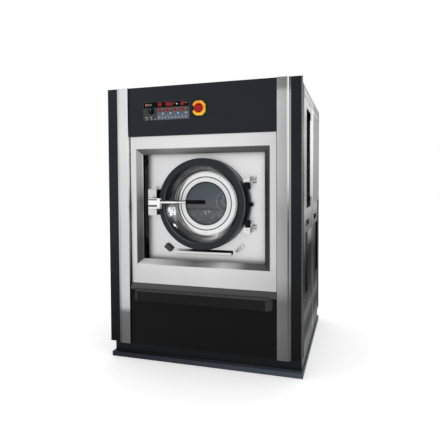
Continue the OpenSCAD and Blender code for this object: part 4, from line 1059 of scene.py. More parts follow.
@dataclass(frozen=True)
class CollarFinish(PlasticFinish):
    """The stop button's yellow collar, with a painted orange shade round the button."""

    middle: tuple[float, float] = (0.007, 1.735)
    inner: Level = (228, 84, 6)
    spread: tuple[float, float] = (0.028, 0.046)
    slant: float = 0.05
    shift: float = 0.004

    def base(self, book: NodeBook) -> Socket | Colour:
        """Paints shade that deepens the colour towards the button, most at the upper left.

        Args:
            book: the material's tree.

        Returns:
            The tone's socket.
        """
        slant = book.minus(book.part(Axis.X), book.part(Axis.Z))
        centre = self.middle[0] - self.middle[1]
        shift = book.span(slant, centre - self.slant, centre + self.slant, self.shift, -self.shift)
        place = book.minus(book.reach(*self.middle), shift)
        return book.mix(book.span(place, *self.spread), seen(*self.inner), seen(*self.level))


@dataclass(frozen=True)
class OverlayFinish(PlasticFinish):
    """The printed overlay: a darker field round the knob and a bluer one for the water keys."""

    left: Level = (60, 65, 67)
    left_edge: tuple[float, float] = (-0.301, -0.303)
    low: Level = (90, 95, 106)
    low_edge: tuple[float, float] = (1.726, 1.718)

    def base(self, book: NodeBook) -> Socket | Colour:
        """Tells the fields apart by their place.

        Args:
            book: the material's tree.

        Returns:
            The tone's socket.
        """
        below = book.span(book.part(Axis.Z), *self.low_edge)
        right = book.mix(below, seen(*self.level), seen(*self.low))
        return book.mix(book.span(book.part(Axis.X), *self.left_edge), right, seen(*self.left))


@dataclass(frozen=True)
class RubberFinish(Finish):
    """Black rubber with dust in its fine grain."""

    level: Level = (32, 34, 35)

    def make(self, book: NodeBook) -> None:
        """Fills the node tree.

        Args:
            book: the material's tree.
        """
        dust = book.noise(scale=26, detail=5.0, rough=0.7)
        book.drive("Base Color", book.shade_by(seen(*self.level), dust, 0.85, 1.2))
        book.rough(dust, 0.62, 0.85)
        book.bump(book.noise(scale=700, detail=3.0), 0.18, 0.0004)
        book.set(Specular_IOR_Level=0.25)


@dataclass(frozen=True)
class CastFinish(Finish):
    """Painted casting with a sandy skin."""

    level: Level = (98, 103, 106)

    def make(self, book: NodeBook) -> None:
        """Fills the node tree.

        Args:
            book: the material's tree.
        """
        skin = book.noise(scale=180, detail=5.0, rough=0.7)
        patches = book.noise(scale=9.0)
        book.drive("Base Color", book.shade_by(seen(*self.level), patches, 0.86, 1.12))
        book.rough(skin, 0.5, 0.72)
        book.bump(skin, 0.35, 0.0012)


@dataclass(frozen=True)
class GlassFinish(Finish):
    """The door's glass: a grey see-through pane with the drum's light and dark painted in it.

    An arc is a painted reflection: its radius and strength. A dash is a painted glint: its place,
    its lean from upright in degrees, its half length, its half width and its strength.
    """

    # the height of a dark line painted across the pane
    pane_line: float = DOOR_Z - 0.040
    skyline: float = DOOR_Z + 0.027
    shine: Level = (112, 120, 124)
    shine_span: tuple[float, float, float, float] = (-0.10, 0.12, 0.0, 0.25)
    rim: Level = (64, 65, 66)
    rim_span: tuple[float, float, float, float] = (0.138, 0.149, 0.0, 0.5)
    light: Level = (206, 206, 212)
    arc_middle: tuple[float, float] = (0.146, DOOR_Z + 0.014)
    arcs: tuple[tuple[float, float], ...] = ((0.070, 0.34), (0.029, 0.48))
    arc_core: float = 0.0010
    arc_edge: float = 0.0034
    dashes: tuple[tuple[float, float, float, float, float, float], ...] = (
        (-0.005, -0.064, 22, 0.0190, 0.0052, 0.85), (0.021, -0.056, 40, 0.0150, 0.0110, 0.40),
        (0.122, 0.050, 40, 0.0120, 0.0042, 0.50), (0.072, -0.029, 0.0, 0.0060, 0.0050, 0.40))

    def arc_light(self, book: NodeBook) -> Socket:
        """Paints the faint broken arcs of reflection that the drum's rim leaves at the right.

        Args:
            book: the material's tree.

        Returns:
            How far each place is lit.
        """
        reach = book.reach(*self.arc_middle)
        light: Socket | float = 0.0
        for radius, strength in self.arcs:
            arc = book.line(book.off(reach, radius), self.arc_core, self.arc_edge, strength)
            light = book.most(light, arc)
        broken = book.noise(scale=50, detail=3.0)
        return book.times(light, book.span(broken, 0.36, 0.50, 0.3, 1.0))

    def dash_light(self, book: NodeBook) -> Socket:
        """Paints the short glints.

        Args:
            book: the material's tree.

        Returns:
            How far each place is lit.
        """
        light: Socket | float = 0.0
        for x, rise, lean, half_long, half_wide, strength in self.dashes:
            across = book.minus(book.part(Axis.X), x)
            up = book.minus(book.part(Axis.Z), DOOR_Z + rise)
            sine, cosine = math.sin(math.radians(lean)), math.cos(math.radians(lean))
            along = book.minus(book.times(up, cosine), book.times(across, sine))
            aside = book.plus(book.times(across, cosine), book.times(up, sine))
            spot = book.times(
                book.line(book.off(along, 0.0), half_long * 0.4, half_long, strength),
                book.line(book.off(aside, 0.0), half_wide * 0.3, half_wide))
            light = book.most(light, spot)
        return light

    def low_light(self, book: NodeBook) -> Socket:
        """Paints faint cells of light under the pane's dark line.

        Args:
            book: the material's tree.

        Returns:
            How far each place is lit.
        """
        cells = book.noise(scale=34, rough=0.6)
        under = book.span(book.part(Axis.Z), self.pane_line, self.pane_line - 0.03)
        return book.times(book.span(cells, 0.50, 0.68, 0.0, 0.16), under)

    def pane(self, book: NodeBook) -> Socket:
        """Paints the pane's tones by height, a reflection on its right and shade at its rim.

        Args:
            book: the material's tree.

        Returns:
            The tone's socket.
        """
        line, sky = self.pane_line, self.skyline
        pane = book.ramp(book.part(Axis.Z), (
            (0.94, seen(92, 92, 94)), (1.00, seen(101, 101, 103)), (1.03, seen(108, 108, 109)),
            (line - 0.005, seen(104, 104, 105)), (line - 0.002, seen(78, 78, 81)),
            (line + 0.002, seen(76, 76, 79)), (line + 0.006, seen(102, 101, 102)),
            (sky - 0.003, seen(106, 105, 107)), (sky + 0.003, seen(92, 99, 108)),
            (1.20, seen(89, 97, 102)), (1.26, seen(82, 88, 91))))
        pane = book.mix(book.span(book.part(Axis.X), *self.shine_span), pane, seen(*self.shine))
        return book.mix(book.span(book.reach(0.0, DOOR_Z), *self.rim_span), pane,
                        seen(*self.rim))

    def make(self, book: NodeBook) -> None:
        """Fills the node tree.

        Args:
            book: the material's tree.
        """
        light = book.most(self.arc_light(book), book.most(self.dash_light(book),
                                                          self.low_light(book)))
        book.drive("Base Color", book.mix(light, self.pane(book), seen(*self.light)))
        book.rough(book.noise(scale=20), 0.26, 0.34)
        book.set(Alpha=0.86, IOR=1.5, Specular_IOR_Level=0.12)


@dataclass(frozen=True)
class GlowFinish(Finish):
    """A lit segment behind a dark red window."""

    level: Level
    strength: float

    def make(self, book: NodeBook) -> None:
        """Fills the node tree.

        Args:
            book: the material's tree.
        """
        flicker = book.shade_by(seen(*self.level), book.noise(scale=300, detail=2.0), 0.9, 1.1)
        book.drive("Base Color", flicker)
        book.drive("Emission Color", flicker)
        book.set(Emission_Strength=self.strength, Roughness=0.4)


# painted light: the flange below low_z is lighter than the recessed plinth above it
FRAME_PAINT = FramePaint(
    "frame_coat", level=(36, 37, 38), low_level=(49, 49, 56), low_z=0.031, high_z=0.036)
# painted shade: both corner panels darken towards the floor; the right one's edge strip is painted
# light
CORNER_PAINT_LEFT = PaintFinish(
    "corner_paint_left", level=(44, 47, 51), low_level=(24, 24, 24), high_z=0.95)
CORNER_PAINT_RIGHT = EdgePaint(
    "corner_paint_right", level=(40, 41, 43), low_level=(16, 16, 16), high_z=1.25)
# painted shade: the fascia darkens towards the right
FASCIA_PAINT = PaintFinish("fascia_paint", level=(46, 50, 54), fade=0.72)
# painted light: the slope above high_z, which faces up, is lighter; painted shade darkens the panel
# towards the right
LOWER_PAINT = PaintFinish(
    "lower_paint", level=(91, 91, 91), low_level=(26, 26, 26), low_z=0.500, high_z=0.504, fade=0.70)
# painted highlight along the bar's top edge above high_z, and painted light on its end faces beyond
# edge_from
BAR_PAINT = EdgePaint(
    "bar_paint", level=(66, 66, 67), low_level=(33, 33, 33), low_z=0.495, high_z=0.499,
    roughness=0.35, edge_from=0.449, edge=((0.11, 52), (1.90, 52)), edge_top=0.494)
RING_PAINT = RingPaint("ring_coat", level=(50, 53, 55), roughness=0.38, peel=0.2)
YOKE_PAINT = PaintFinish("yoke_paint", level=(28, 30, 32), roughness=0.4)
CRADLE_PAINT = PaintFinish("cradle_coat", level=(98, 103, 106))
SPRING_PAINT = PaintFinish("spring_paint", level=(108, 111, 114), roughness=0.3)
CASE_PAINT = PaintFinish("case_paint", level=(136, 142, 146), roughness=0.5)
MOTOR_PAINT = CastFinish("motor_coat", level=(78, 94, 107))
CASTING = CastFinish("casting")

# painted reflection and shade: the side's tones along the height
SIDE_STEEL = SideFinish(
    "side_steel",
    stops=(
        (0.11, 128), (0.18, 124), (0.23, 82), (0.30, 84), (0.36, 118), (0.42, 84), (0.56, 56),
        (0.72, 56), (0.84, 112), (0.96, 132), (1.05, 178), (1.15, 160), (1.30, 172), (1.55, 204),
        (1.66, 196), (1.72, 222), (1.78, 222), (1.83, 186), (1.87, 174)),
    grain=Grain.UPRIGHT, roughness=0.40, dull_along=True)
# painted reflection and shade along the height of the side covers
COVER_STEEL = CoverFinish(
    "cover_steel",
    stops=(
        (0.11, 170), (0.17, 164), (0.23, 112), (0.50, 96), (0.75, 76), (0.88, 116), (1.05, 164),
        (1.15, 208), (1.35, 240), (1.50, 254), (1.78, 254), (1.83, 206)),
    grain=Grain.UPRIGHT, roughness=0.36, dull_along=True)
# painted shade: the top darkens towards the rear, the back towards the floor
TOP_STEEL = BrushedFinish("top_steel", stops=((-0.7, 190), (0.7, 176)), axis=Axis.Y, roughness=0.42)
BACK_STEEL = BrushedFinish("back_steel", stops=((0.1, 120), (0.8, 158), (1.9, 186)), roughness=0.45)
# painted reflection across the panel, darker at its right end, and painted shade towards the floor
FRONT_STEEL = PanelFinish(
    "front_steel", stops=((-0.51, 219), (-0.25, 226), (0.05, 228), (0.30, 220), (0.51, 205)),
    axis=Axis.X, line_depth=0.03, cloud=0.02)
# painted shade: the plate is a little darker towards the floor
PLATE_STEEL = PlateFinish(
    "plate_steel", stops=((0.66, 210), (0.80, 214), (1.10, 219), (1.45, 220)), roughness=0.30,
    metal=0.9, line_depth=0.02, cloud=0.02)
# painted light: a little lighter below the lever, where it lies in shade
LATCH_STEEL = BrushedFinish(
    "latch_steel", stops=((1.00, 214), (1.06, 212), (1.075, 206), (1.20, 206)), roughness=0.42)
# painted shade in a slot above the rod, a painted shadow below it, painted highlights between
CLEVIS_STEEL = BrushedFinish(
    "clevis_steel",
    stops=(
        (1.067, 120), (1.072, 232), (1.083, 226), (1.086, 60), (1.093, 44), (1.099, 236),
        (1.126, 246), (1.129, 60), (1.134, 60), (1.137, 226)),
    roughness=0.36)
# painted shade along the end's lower edge
CLEVIS_END_STEEL = BrushedFinish(
    "clevis_end_steel", stops=((1.067, 190), (1.08, 240), (1.14, 246)), roughness=0.34)
GUTTER_STEEL = GutterFinish("gutter_steel", stops=((0.7, 216), (0.9, 216)), roughness=0.4)
# painted reflections and highlights of the trims along the height
TRIM_STEEL_LEFT = TrimFinish(
    "trim_steel_left",
    stops=(
        (0.11, 96), (0.30, 103), (0.335, 106), (0.37, 180), (0.46, 194), (0.66, 198), (0.90, 204),
        (1.30, 216), (1.50, 226), (1.90, 226)),
    fold_stops=(
        (0.11, 50), (0.25, 60), (0.335, 84), (0.37, 126), (0.46, 152), (0.60, 176), (0.80, 168),
        (0.98, 168), (1.10, 212), (1.35, 196), (1.55, 226), (1.70, 220), (1.90, 196)),
    wall_stops=(
        (0.11, 24), (0.35, 50), (0.50, 40), (0.65, 120), (0.95, 190), (1.08, 150), (1.25, 252),
        (1.40, 248), (1.47, 254), (1.56, 254), (1.62, 150), (1.68, 60), (1.90, 60)),
    bevel_stops=((0.11, 74), (0.335, 90), (0.37, 140), (0.55, 160), (1.00, 196), (1.90, 206)),
    fall=0.95, grain=Grain.UPRIGHT)
TRIM_STEEL_RIGHT = TrimFinish(
    "trim_steel_right",
    stops=(
        (0.11, 98), (0.30, 108), (0.48, 106), (0.55, 141), (0.65, 161), (1.06, 158), (1.15, 172),
        (1.35, 184), (1.75, 186), (1.81, 180), (1.84, 132), (1.90, 128)),
    wall_stops=((0.11, 45), (0.50, 50), (0.60, 132), (1.90, 152)),
    fold_stops=(
        (0.11, 84), (0.50, 72), (0.65, 66), (0.85, 32), (0.98, 50), (1.06, 96), (1.15, 172),
        (1.25, 221), (1.35, 226), (1.55, 220), (1.75, 208), (1.90, 206)),
    bevel_stops=(
        (0.11, 76), (0.25, 86), (0.50, 84), (0.62, 126), (0.90, 126), (1.10, 134), (1.20, 144),
        (1.40, 150), (1.55, 142), (1.80, 132), (1.85, 82), (1.90, 78)),
    grain=Grain.UPRIGHT)
# painted reflections on the four slopes round the opening
BEZEL_STEEL = BezelFinish(
    "bezel_steel",
    stops=((-0.47, 94), (-0.35, 124), (-0.20, 160), (-0.03, 140), (0.21, 112), (0.47, 94)),
    axis=Axis.X, roughness=0.36, line_depth=0.03)
CLAMP_METAL = ClampFinish(
    "clamp_metal", stops=((-0.22, 240), (0.0, 238), (0.22, 228)), axis=Axis.X, grain=Grain.TURNED,
    roughness=0.36, metal=0.9, line_depth=0.03)
# painted shade: tub and drum darken towards the floor
TUB_STEEL = BrushedFinish(
    "tub_steel", stops=((0.5, 150), (1.7, 186)), grain=Grain.TURNED, roughness=0.4)
DRUM_STEEL = BrushedFinish(
    "drum_steel", stops=((0.6, 176), (1.6, 206)), grain=Grain.DEEP, roughness=0.26)

BOWL_METAL = BowlFinish("bowl_metal")
BRACKET_METAL = PolishedFinish("bracket_metal", level=218, dark=0.70, scale=60)
LEVER_METAL = LeverFinish("lever_metal", level=186, dark=0.60, scale=20)
SCREW_METAL = ScrewFinish("screw_metal", level=165, dark=0.6, scale=60, roughness=0.3)
PIN_METAL = PolishedFinish("pin_metal", level=198, dark=0.75, scale=20)

BLACK_PLASTIC = PlasticFinish("black_moulding", level=(11, 11, 12), sheen=0.05)
KNOB_PLASTIC = PlasticFinish("knob_plastic", level=(20, 22, 24), roughness=0.5, sheen=0.05)
OVERLAY_FILM = OverlayFinish("overlay_film", level=(76, 74, 78), roughness=0.4, texture=2200)
BAND_FILM = PlasticFinish("band_film", level=(13, 11, 11), roughness=0.3, sheen=0.05)
DISPLAY_FILM = PlasticFinish("display_film", level=(104, 8, 8), roughness=0.3)
YELLOW_PLASTIC = CollarFinish("yellow_plastic", level=(255, 205, 66), roughness=0.35)
RED_PLASTIC = PlasticFinish("red_plastic", level=(158, 6, 18), roughness=0.3, coat=0.1)
GREEN_PLASTIC = PlasticFinish("green_plastic", level=(96, 108, 100), roughness=0.5)
ROSE_PLASTIC = PlasticFinish("rose_plastic", level=(116, 96, 98), roughness=0.5)
VALVE_PLASTIC = PlasticFinish("valve_plastic", level=(64, 110, 134), roughness=0.5)
DRAIN_PLASTIC = PlasticFinish("drain_plastic", level=(74, 77, 80), roughness=0.55)
RIM_INK = PlasticFinish("rim_ink", level=(150, 124, 126), roughness=0.6)
WHITE_INK = PlasticFinish("white_ink", level=(196, 202, 206), roughness=0.6)
BLUE_INK = PlasticFinish("blue_ink", level=(150, 196, 220), roughness=0.6)
ROSE_INK = PlasticFinish("rose_ink", level=(206, 96, 110), roughness=0.5)

RUBBER = RubberFinish("plain_rubber")
BUFFER_RUBBER = RubberFinish("buffer_rubber", level=(74, 74, 75))
SEAL_RUBBER = RubberFinish("seal_rubber", level=(46, 49, 52))

GLASS = GlassFinish("door_glass")
SEGMENT_GLOW = GlowFinish("segment_glow", level=(158, 58, 52), strength=0.12)
LAMP_GLOW = GlowFinish("lamp_glow", level=(146, 84, 76), strength=0.05)


class Bench:
    """Modelling steps that the sub-assemblies share, as a modeller does them by hand."""

    @staticmethod
    def clear() -> None:
        """Leaves edit mode and deselects everything."""
        if bpy.context.object and bpy.context.object.mode != "OBJECT":
            bpy.ops.object.mode_set(mode="OBJECT")
        bpy.ops.object.select_all(action="DESELECT")

    @staticmethod
    def take(*pieces: bpy.types.Object) -> None:
        """Selects pieces and nothing else, the first as the active one."""
        Bench.clear()
        for piece in pieces:
            piece.select_set(True)
        bpy.context.view_layer.objects.active = pieces[0]

    @staticmethod
    def active() -> bpy.types.Object:
        """Gives the object that is being modelled."""
        return bpy.context.view_layer.objects.active

    @staticmethod
    def pick(kind: str, test: Callable[[Vector, Vector], bool]) -> None:
        """Selects, in edit mode, the edges or corners whose place passes a test.

        Args:
            kind: "EDGE" or "VERT".
            test: gets an edge's middle and run, or a corner and its normal, in the machine's
                frame.
        """
        bpy.ops.mesh.select_mode(type=kind)
        bpy.ops.mesh.select_all(action="DESELECT")
        piece = Bench.active()
        mesh = bmesh.from_edit_mesh(piece.data)
        world = piece.matrix_world
        if kind == "EDGE":
            for edge in mesh.edges:
                first, second = (world @ corner.co for corner in edge.verts)
                edge.select_set(test((first + second) / 2, second - first))
        else:
            for corner in mesh.verts:
                corner.select_set(test(world @ corner.co, world.to_3x3() @ corner.normal))
        mesh.select_flush_mode()
        bmesh.update_edit_mesh(piece.data)

    @staticmethod
    def settle(name: str) -> bpy.types.Object:
        """Ends a piece: names it, puts its place into its mesh and turns its faces outwards.

        Args:
            name: the finished piece's name.

        Returns:
            The finished object.
        """
        bpy.ops.object.mode_set(mode="EDIT")
        bpy.ops.mesh.select_all(action="SELECT")
        bpy.ops.mesh.remove_doubles(threshold=1e-6)
        bpy.ops.mesh.normals_make_consistent(inside=False)
        bpy.ops.object.mode_set(mode="OBJECT")
        bpy.ops.object.transform_apply(location=True, rotation=True, scale=True)
        piece = Bench.active()
        piece.name = piece.data.name = name
        return piece

    @staticmethod
    def block(name: str, low: Point, high: Point, chamfer: float) -> bpy.types.Object:
        """Makes a plate or bar between two corners, its edges bevelled.

        Args:
            name: the piece's name.
            low: the lowest corner.
            high: the highest corner.
            chamfer: the width of the bevel along all its edges.

        Returns:
            The finished object.
        """
        Bench.clear()
        size = [b - a for a, b in zip(low, high)]
        middle = [(a + b) / 2 for a, b in zip(low, high)]
        bpy.ops.mesh.primitive_cube_add(size=1, location=middle, scale=size)
        bpy.ops.object.transform_apply(location=False, rotation=False, scale=True)
        bpy.ops.object.mode_set(mode="EDIT")
        bpy.ops.mesh.select_all(action="SELECT")
        bpy.ops.mesh.bevel(offset=chamfer, segments=2, affect="EDGES")
        return Bench.settle(name)

    @staticmethod
    def follow(profile: Profile, centre: Point, filled: bool = False) -> None:
        """Extrudes and resizes the selected loop along a profile about a line to the rear.

        Args:
            profile: pairs of radius and depth, the first being the loop's own.
            centre: a point on the line.
            filled: whether the loop is a face, which then moves on to the end.
        """
        extrude = bpy.ops.mesh.extrude_region_move if filled else bpy.ops.mesh.extrude_edges_move
        for (radius, depth), (next_radius, next_depth) in zip(profile, profile[1:]):
            extrude(TRANSFORM_OT_translate={"value": (0, next_depth - depth, 0)})
            ratio = next_radius / radius
            bpy.ops.transform.resize(value=(ratio, 1, ratio), center_override=centre)

    @staticmethod
    def turned(name: str, centre: Point, profile: Profile, sides: int,
               closed: bool = False) -> bpy.types.Object:
        """Makes a piece turned about a line to the rear.

        Args:
            name: the piece's name.
            centre: the point on the line from which the profile's depths are counted.
            profile: pairs of radius and depth.
            sides: how many sides the circle has.
            closed: whether the last loop joins the first, as on a ring, or both ends are filled.

        Returns:
            The finished object.
        """
        Bench.clear()
        radius, depth = profile[0]
        start = Vector(centre) + Vector((0, depth, 0))
        bpy.ops.mesh.primitive_circle_add(vertices=sides, radius=radius, location=start,
                                          rotation=TO_REAR, fill_type="NOTHING")
        bpy.ops.object.mode_set(mode="EDIT")
        bpy.ops.mesh.select_mode(type="EDGE")
        bpy.ops.mesh.select_all(action="SELECT")
        if closed:
            profile = (*profile, profile[0])
        else:
            bpy.ops.mesh.edge_face_add()
        Bench.follow(profile, centre, filled=not closed)
        return Bench.settle(name)

    @staticmethod
    def copies(piece: bpy.types.Object, places: Sequence[Matrix]) -> bpy.types.Object:
        """Repeats a piece at other places and joins all into the first.

        Args:
            piece: the piece as modelled once.
            places: a matrix for each further copy.

        Returns:
            The joined object.
        """
        made = [piece]
        for place in places:
            other = piece.copy()
            other.data = piece.data.copy()
            other.data.transform(place)
            bpy.context.scene.collection.objects.link(other)
            made.append(other)
        return Bench.join(piece.name, made)

    @staticmethod
    def join(name: str, pieces: Sequence[bpy.types.Object]) -> bpy.types.Object:
        """Joins pieces into one under a name."""
        Bench.take(*pieces)
        if len(pieces) > 1:
            bpy.ops.object.join()
        pieces[0].name = pieces[0].data.name = name
        return pieces[0]

    @staticmethod
    def smooth(piece: bpy.types.Object, degrees: float) -> None:
        """Shades a piece smooth but for the edges that are sharper than an angle."""
        Bench.take(piece)
        bpy.ops.object.shade_smooth_by_angle(angle=math.radians(degrees))

    @staticmethod
    def thicken(piece: bpy.types.Object, wall: float) -> None:
        """Gives a sheet its wall, on the inner side."""
        Bench.take(piece)
        added = piece.modifiers.new("wall", "SOLIDIFY")
        added.thickness = wall
        added.offset = -1.0
        bpy.ops.object.modifier_apply(modifier=added.name)


def place_piece(piece: bpy.types.Object, body: str, finish: Finish) -> None:
    """Dresses a piece, lets it ride and reports it.

    Args:
        piece: the finished piece.
        body: the CAD body that carries it.
        finish: what it is dressed with.
    """
    finish.dress(piece)
    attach(piece, body)
    LOG.info("piece %s on %s: %s", piece.name, body, finish.name)


@dataclass
class Assembly:
    """A sub-assembly: the CAD nodes that get a finish, and the pieces that are added to them."""

    nodes: ClassVar[dict[Finish, tuple[str, ...]]]

    def build(self) -> None:
        """Dresses the CAD nodes and adds the pieces."""
        for finish, names in self.nodes.items():
            finish.dress_nodes(*names)
        self.add_pieces()

    def add_pieces(self) -> None:
        """Models the pieces that the solids leave out; a plain assembly has none."""


@dataclass
class Cabinet(Assembly):
    """The skin and base of the machine, all of it CAD nodes with finishes."""

    nodes = {
        FRAME_PAINT: ("main_frame",),
        SIDE_STEEL: ("left_side_panel", "right_side_panel"),
        COVER_STEEL: ("side_covers",),
        CORNER_PAINT_LEFT: ("left_corner_panel",),
        CORNER_PAINT_RIGHT: ("right_corner_panel",),
        TRIM_STEEL_LEFT: ("left_trim",),
        TRIM_STEEL_RIGHT: ("right_trim",),
        FASCIA_PAINT: ("control_fascia",),
        FRONT_STEEL: ("front_panel",),
        BEZEL_STEEL: ("bezel_frame",),
        LOWER_PAINT: ("lower_panel",),
        BAR_PAINT: ("pull_bar",),
        TOP_STEEL: ("top_cover",),
        BACK_STEEL: ("back_panel",),
        SCREW_METAL: ("cabinet_screws",),
    }


@dataclass(frozen=True)
class Mark:
    """One printed mark: its middle, its width and height, its face and its turn in degrees."""

    x: float
    z: float
    wide: float
    high: float
    face: float = OVERLAY_FACE
    turn: float = 0.0
    corner: ClassVar[float] = 0.12

    def build(self) -> bpy.types.Object:
        """Makes a plane, turns it, cuts its corners and raises it by the film's thickness."""
        middle = (self.x, self.face, self.z)
        Bench.clear()
        bpy.ops.mesh.primitive_plane_add(size=1, location=middle, rotation=TO_REAR)
        bpy.ops.object.mode_set(mode="EDIT")
        bpy.ops.mesh.select_all(action="SELECT")
        bpy.ops.transform.resize(value=(self.wide, 1, self.high), center_override=middle)
        if self.turn:
            bpy.ops.transform.rotate(value=math.radians(self.turn), orient_axis="Y",
                                     center_override=middle)
        bpy.ops.mesh.bevel(offset=min(self.wide, self.high) * self.corner, segments=1,
                           affect="VERTICES")
        bpy.ops.mesh.select_all(action="SELECT")
        bpy.ops.mesh.extrude_region_move(TRANSFORM_OT_translate={"value": (0, -FILM, 0)})
        return Bench.settle("mark")


@dataclass
class Controls(Assembly):
    """The control overlay's print, its displays, the knob's scale and the stop button."""

    nodes = {
        OVERLAY_FILM: ("control_overlay",),
        DISPLAY_FILM: ("display_windows",),
        KNOB_PLASTIC: ("program_knob",),
        GREEN_PLASTIC: ("start_key",),
        ROSE_PLASTIC: ("stop_key",),
        YELLOW_PLASTIC: ("stop_collar",),
        RED_PLASTIC: ("stop_button",),
        CASE_PAINT: ("control_box", "inverter_drive"),
        BLACK_PLASTIC: ("cable_gland",),
    }
    band: tuple[Point, Point] = ((-0.401, BAND_FACE, 1.756), (-0.070, OVERLAY_FACE, 1.794))
    top_row: tuple[tuple[float, int], ...] = ((-0.2805, 2), (-0.2115, 4), (-0.1155, 2))
    top_pitch: float = 0.0125
    low_row: tuple[float, ...] = (-0.2805, -0.225, -0.1695, -0.114)
    low_pitch: float = 0.0124
    top_z: float = 1.777
    low_z: float = 1.737
    blue_z: float = 1.7155
    icon_z: float = 1.690
    digit: tuple[float, float] = (0.0085, 0.0165)
    stroke: float = 0.0014
    stroke_gap: float = 0.001
    rim: float = 0.0018
    rim_box: tuple[float, float] = (0.0268, 0.0244)
    lamp_x: float = -0.3795
    lamp: Profile = ((0.0098, 0.0), (0.0098, -0.0006), (0.0086, -0.0014), (0.0055, -0.0020),
                     (0.002, -0.0022))
    knob: tuple[float, float] = (-0.341, 1.734)
    knob_scale: float = 0.0275
    stop: tuple[float, float] = (0.007, 1.735)
    arrow_starts: tuple[float, ...] = (20, 140, 260)
    arrow_step: float = 17
    arrow_circle: float = 0.0118
    arrow_lift: float = 0.0012
    key_sign: float = 0.0055

    @staticmethod
    def print_marks(name: str, body: str, slot: str, ink: Finish, marks: Sequence[Mark]) -> None:
        """Makes marks as one piece and places it.

        Args:
            name: the piece's name.
            body: the CAD body that carries it.
            slot: not used.
            ink: what it is dressed with.
            marks: the marks, in the order in which they are made.
        """
        place_piece(Bench.join(name, [mark.build() for mark in marks]), body, ink)

    def figure(self, x: float, z: float) -> list[Mark]:
        """Gives the seven lit segments of one figure.

        Args:
            x: the figure's middle.
            z: its height.

        Returns:
            Its marks.
        """
        wide, high = self.digit
        level = [Mark(x, z + row * high / 2, wide - self.stroke_gap, self.stroke, DISPLAY_FACE)
                 for row in (-1, 0, 1)]
        upright = [Mark(x + side * wide / 2, z + row * high / 4, self.stroke,
                        high / 2 - self.stroke_gap, DISPLAY_FACE)
                   for side in (-1, 1) for row in (-1, 1)]
        return level + upright

    def figures(self) -> list[Mark]:
        """Gives the lit figures of both rows of displays."""
        places = [(middle + (index - (count - 1) / 2) * self.top_pitch, self.top_z)
                  for middle, count in self.top_row for index in range(count)]
        places += [(middle + side * self.low_pitch / 2, self.low_z)
                   for middle in self.low_row for side in (-1, 1)]
        return [mark for x, z in places for mark in self.figure(x, z)]

    def upper_signs(self) -> list[Mark]:
        """Gives the signs beside the lower row's windows and those on the dark band."""
        marks = [Mark(x + 0.021, self.low_z + 0.006, 0.003, 0.005) for x in self.low_row]
        for x in (-0.362, -0.347):
            marks.append(Mark(x, self.top_z + 0.001, 0.006, 0.007, BAND_FACE))
            marks.append(Mark(x, self.top_z - 0.007, 0.008, 0.0015, BAND_FACE))
        marks.append(Mark(-0.1545, self.top_z - 0.002, 0.008, 0.010, BAND_FACE, 45))
        marks += [Mark(x, self.top_z + 0.004, 0.0018, 0.009, BAND_FACE)
                  for x in (-0.172, -0.0945, -0.0845)]
        return marks

    def icon_signs(self) -> list[Mark]:
        """Gives the signs along the overlay's lower edge."""
        marks = []
        for x in (-0.379, -0.345, -0.317):
            marks.append(Mark(x, self.icon_z - 0.0135, 0.010, 0.0022, turn=20))
            marks.append(Mark(x + 0.004, self.icon_z - 0.009, 0.008, 0.002, turn=-35))
        for index in range(9):
            x = -0.290 + index * 0.0245
            high = 0.007 if index % 2 else 0.010
            marks.append(Mark(x, self.icon_z + 0.001, 0.0022, high, turn=12 * index))
            marks.append(Mark(x + 0.005, self.icon_z - 0.001, 0.008, 0.0022,
                              turn=-18 + 6 * index))
            marks.append(Mark(x + 0.002, self.icon_z - 0.007, 0.012, 0.0016))
        return marks

    def scale_signs(self) -> list[Mark]:
        """Gives the strokes round the knob."""
        x, z = self.knob
        angles = [math.radians(-150 + 30 * index) for index in range(11)]
        return [Mark(x + self.knob_scale * math.sin(angle), z + self.knob_scale * math.cos(angle),
                     0.0012, 0.0034, turn=math.degrees(angle)) for angle in angles]

    def water_signs(self) -> list[Mark]:
        """Gives the blue signs of the water keys."""
        marks = []
        for index, middle in enumerate(self.low_row):
            x = middle + 0.0225
            marks.append(Mark(x, self.blue_z, 0.011, 0.0085, turn=45))
            marks.append(Mark(x, self.blue_z - 0.006, 0.015, 0.0022))
            marks.append(Mark(x - 0.022, self.icon_z + 0.009, 0.010, 0.0020, turn=10 * index))
        return marks

    def rims(self) -> list[Mark]:
        """Gives the rims of the lower row's windows."""
        wide, high = self.rim_box
        marks = []
        for x in self.low_row:
            for side in (-1, 1):
                marks.append(Mark(x, self.low_z + side * high / 2, wide - self.rim, self.rim,
                                  DISPLAY_FACE))
                marks.append(Mark(x + side * wide / 2, self.low_z, self.rim, 0.023, DISPLAY_FACE))
        return marks

    def arrows(self) -> list[Mark]:
        """Gives the turning arrows on the stop button's head: three strokes and a point each."""
        x, z = self.stop
        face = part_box("stop_button")[0].y + self.arrow_lift
        marks = []
        for start in self.arrow_starts:
            for step in range(4):
                bend = math.radians(start + self.arrow_step * step)
                size, turn = ((0.0036, 0.0012), 0) if step < 3 else ((0.0030, 0.0030), 45)
                marks.append(Mark(x + self.arrow_circle * math.sin(bend),
                                  z + self.arrow_circle * math.cos(bend), *size, face,
                                  math.degrees(bend) + turn))
        return marks

    def build_lamp(self) -> None:
        """Makes the round red lamp at the upper left."""
        lamp = Bench.turned("warning_lamp", (self.lamp_x, OVERLAY_FACE, self.top_z), self.lamp, 32)
        Bench.smooth(lamp, 35)
        place_piece(lamp, "cabinet", LAMP_GLOW)

    def build_key_signs(self) -> None:
        """Makes the start wedge and the stop square on the two keys."""
        for key, body, turn in (("start_key", "start_button", 45), ("stop_key", "halt_button", 0)):
            low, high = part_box(key)
            sign = Mark((low.x + high.x) / 2, (low.z + high.z) / 2, self.key_sign, self.key_sign,
                        low.y, turn)
            self.print_marks(key + "_sign", body, key, WHITE_INK, [sign])

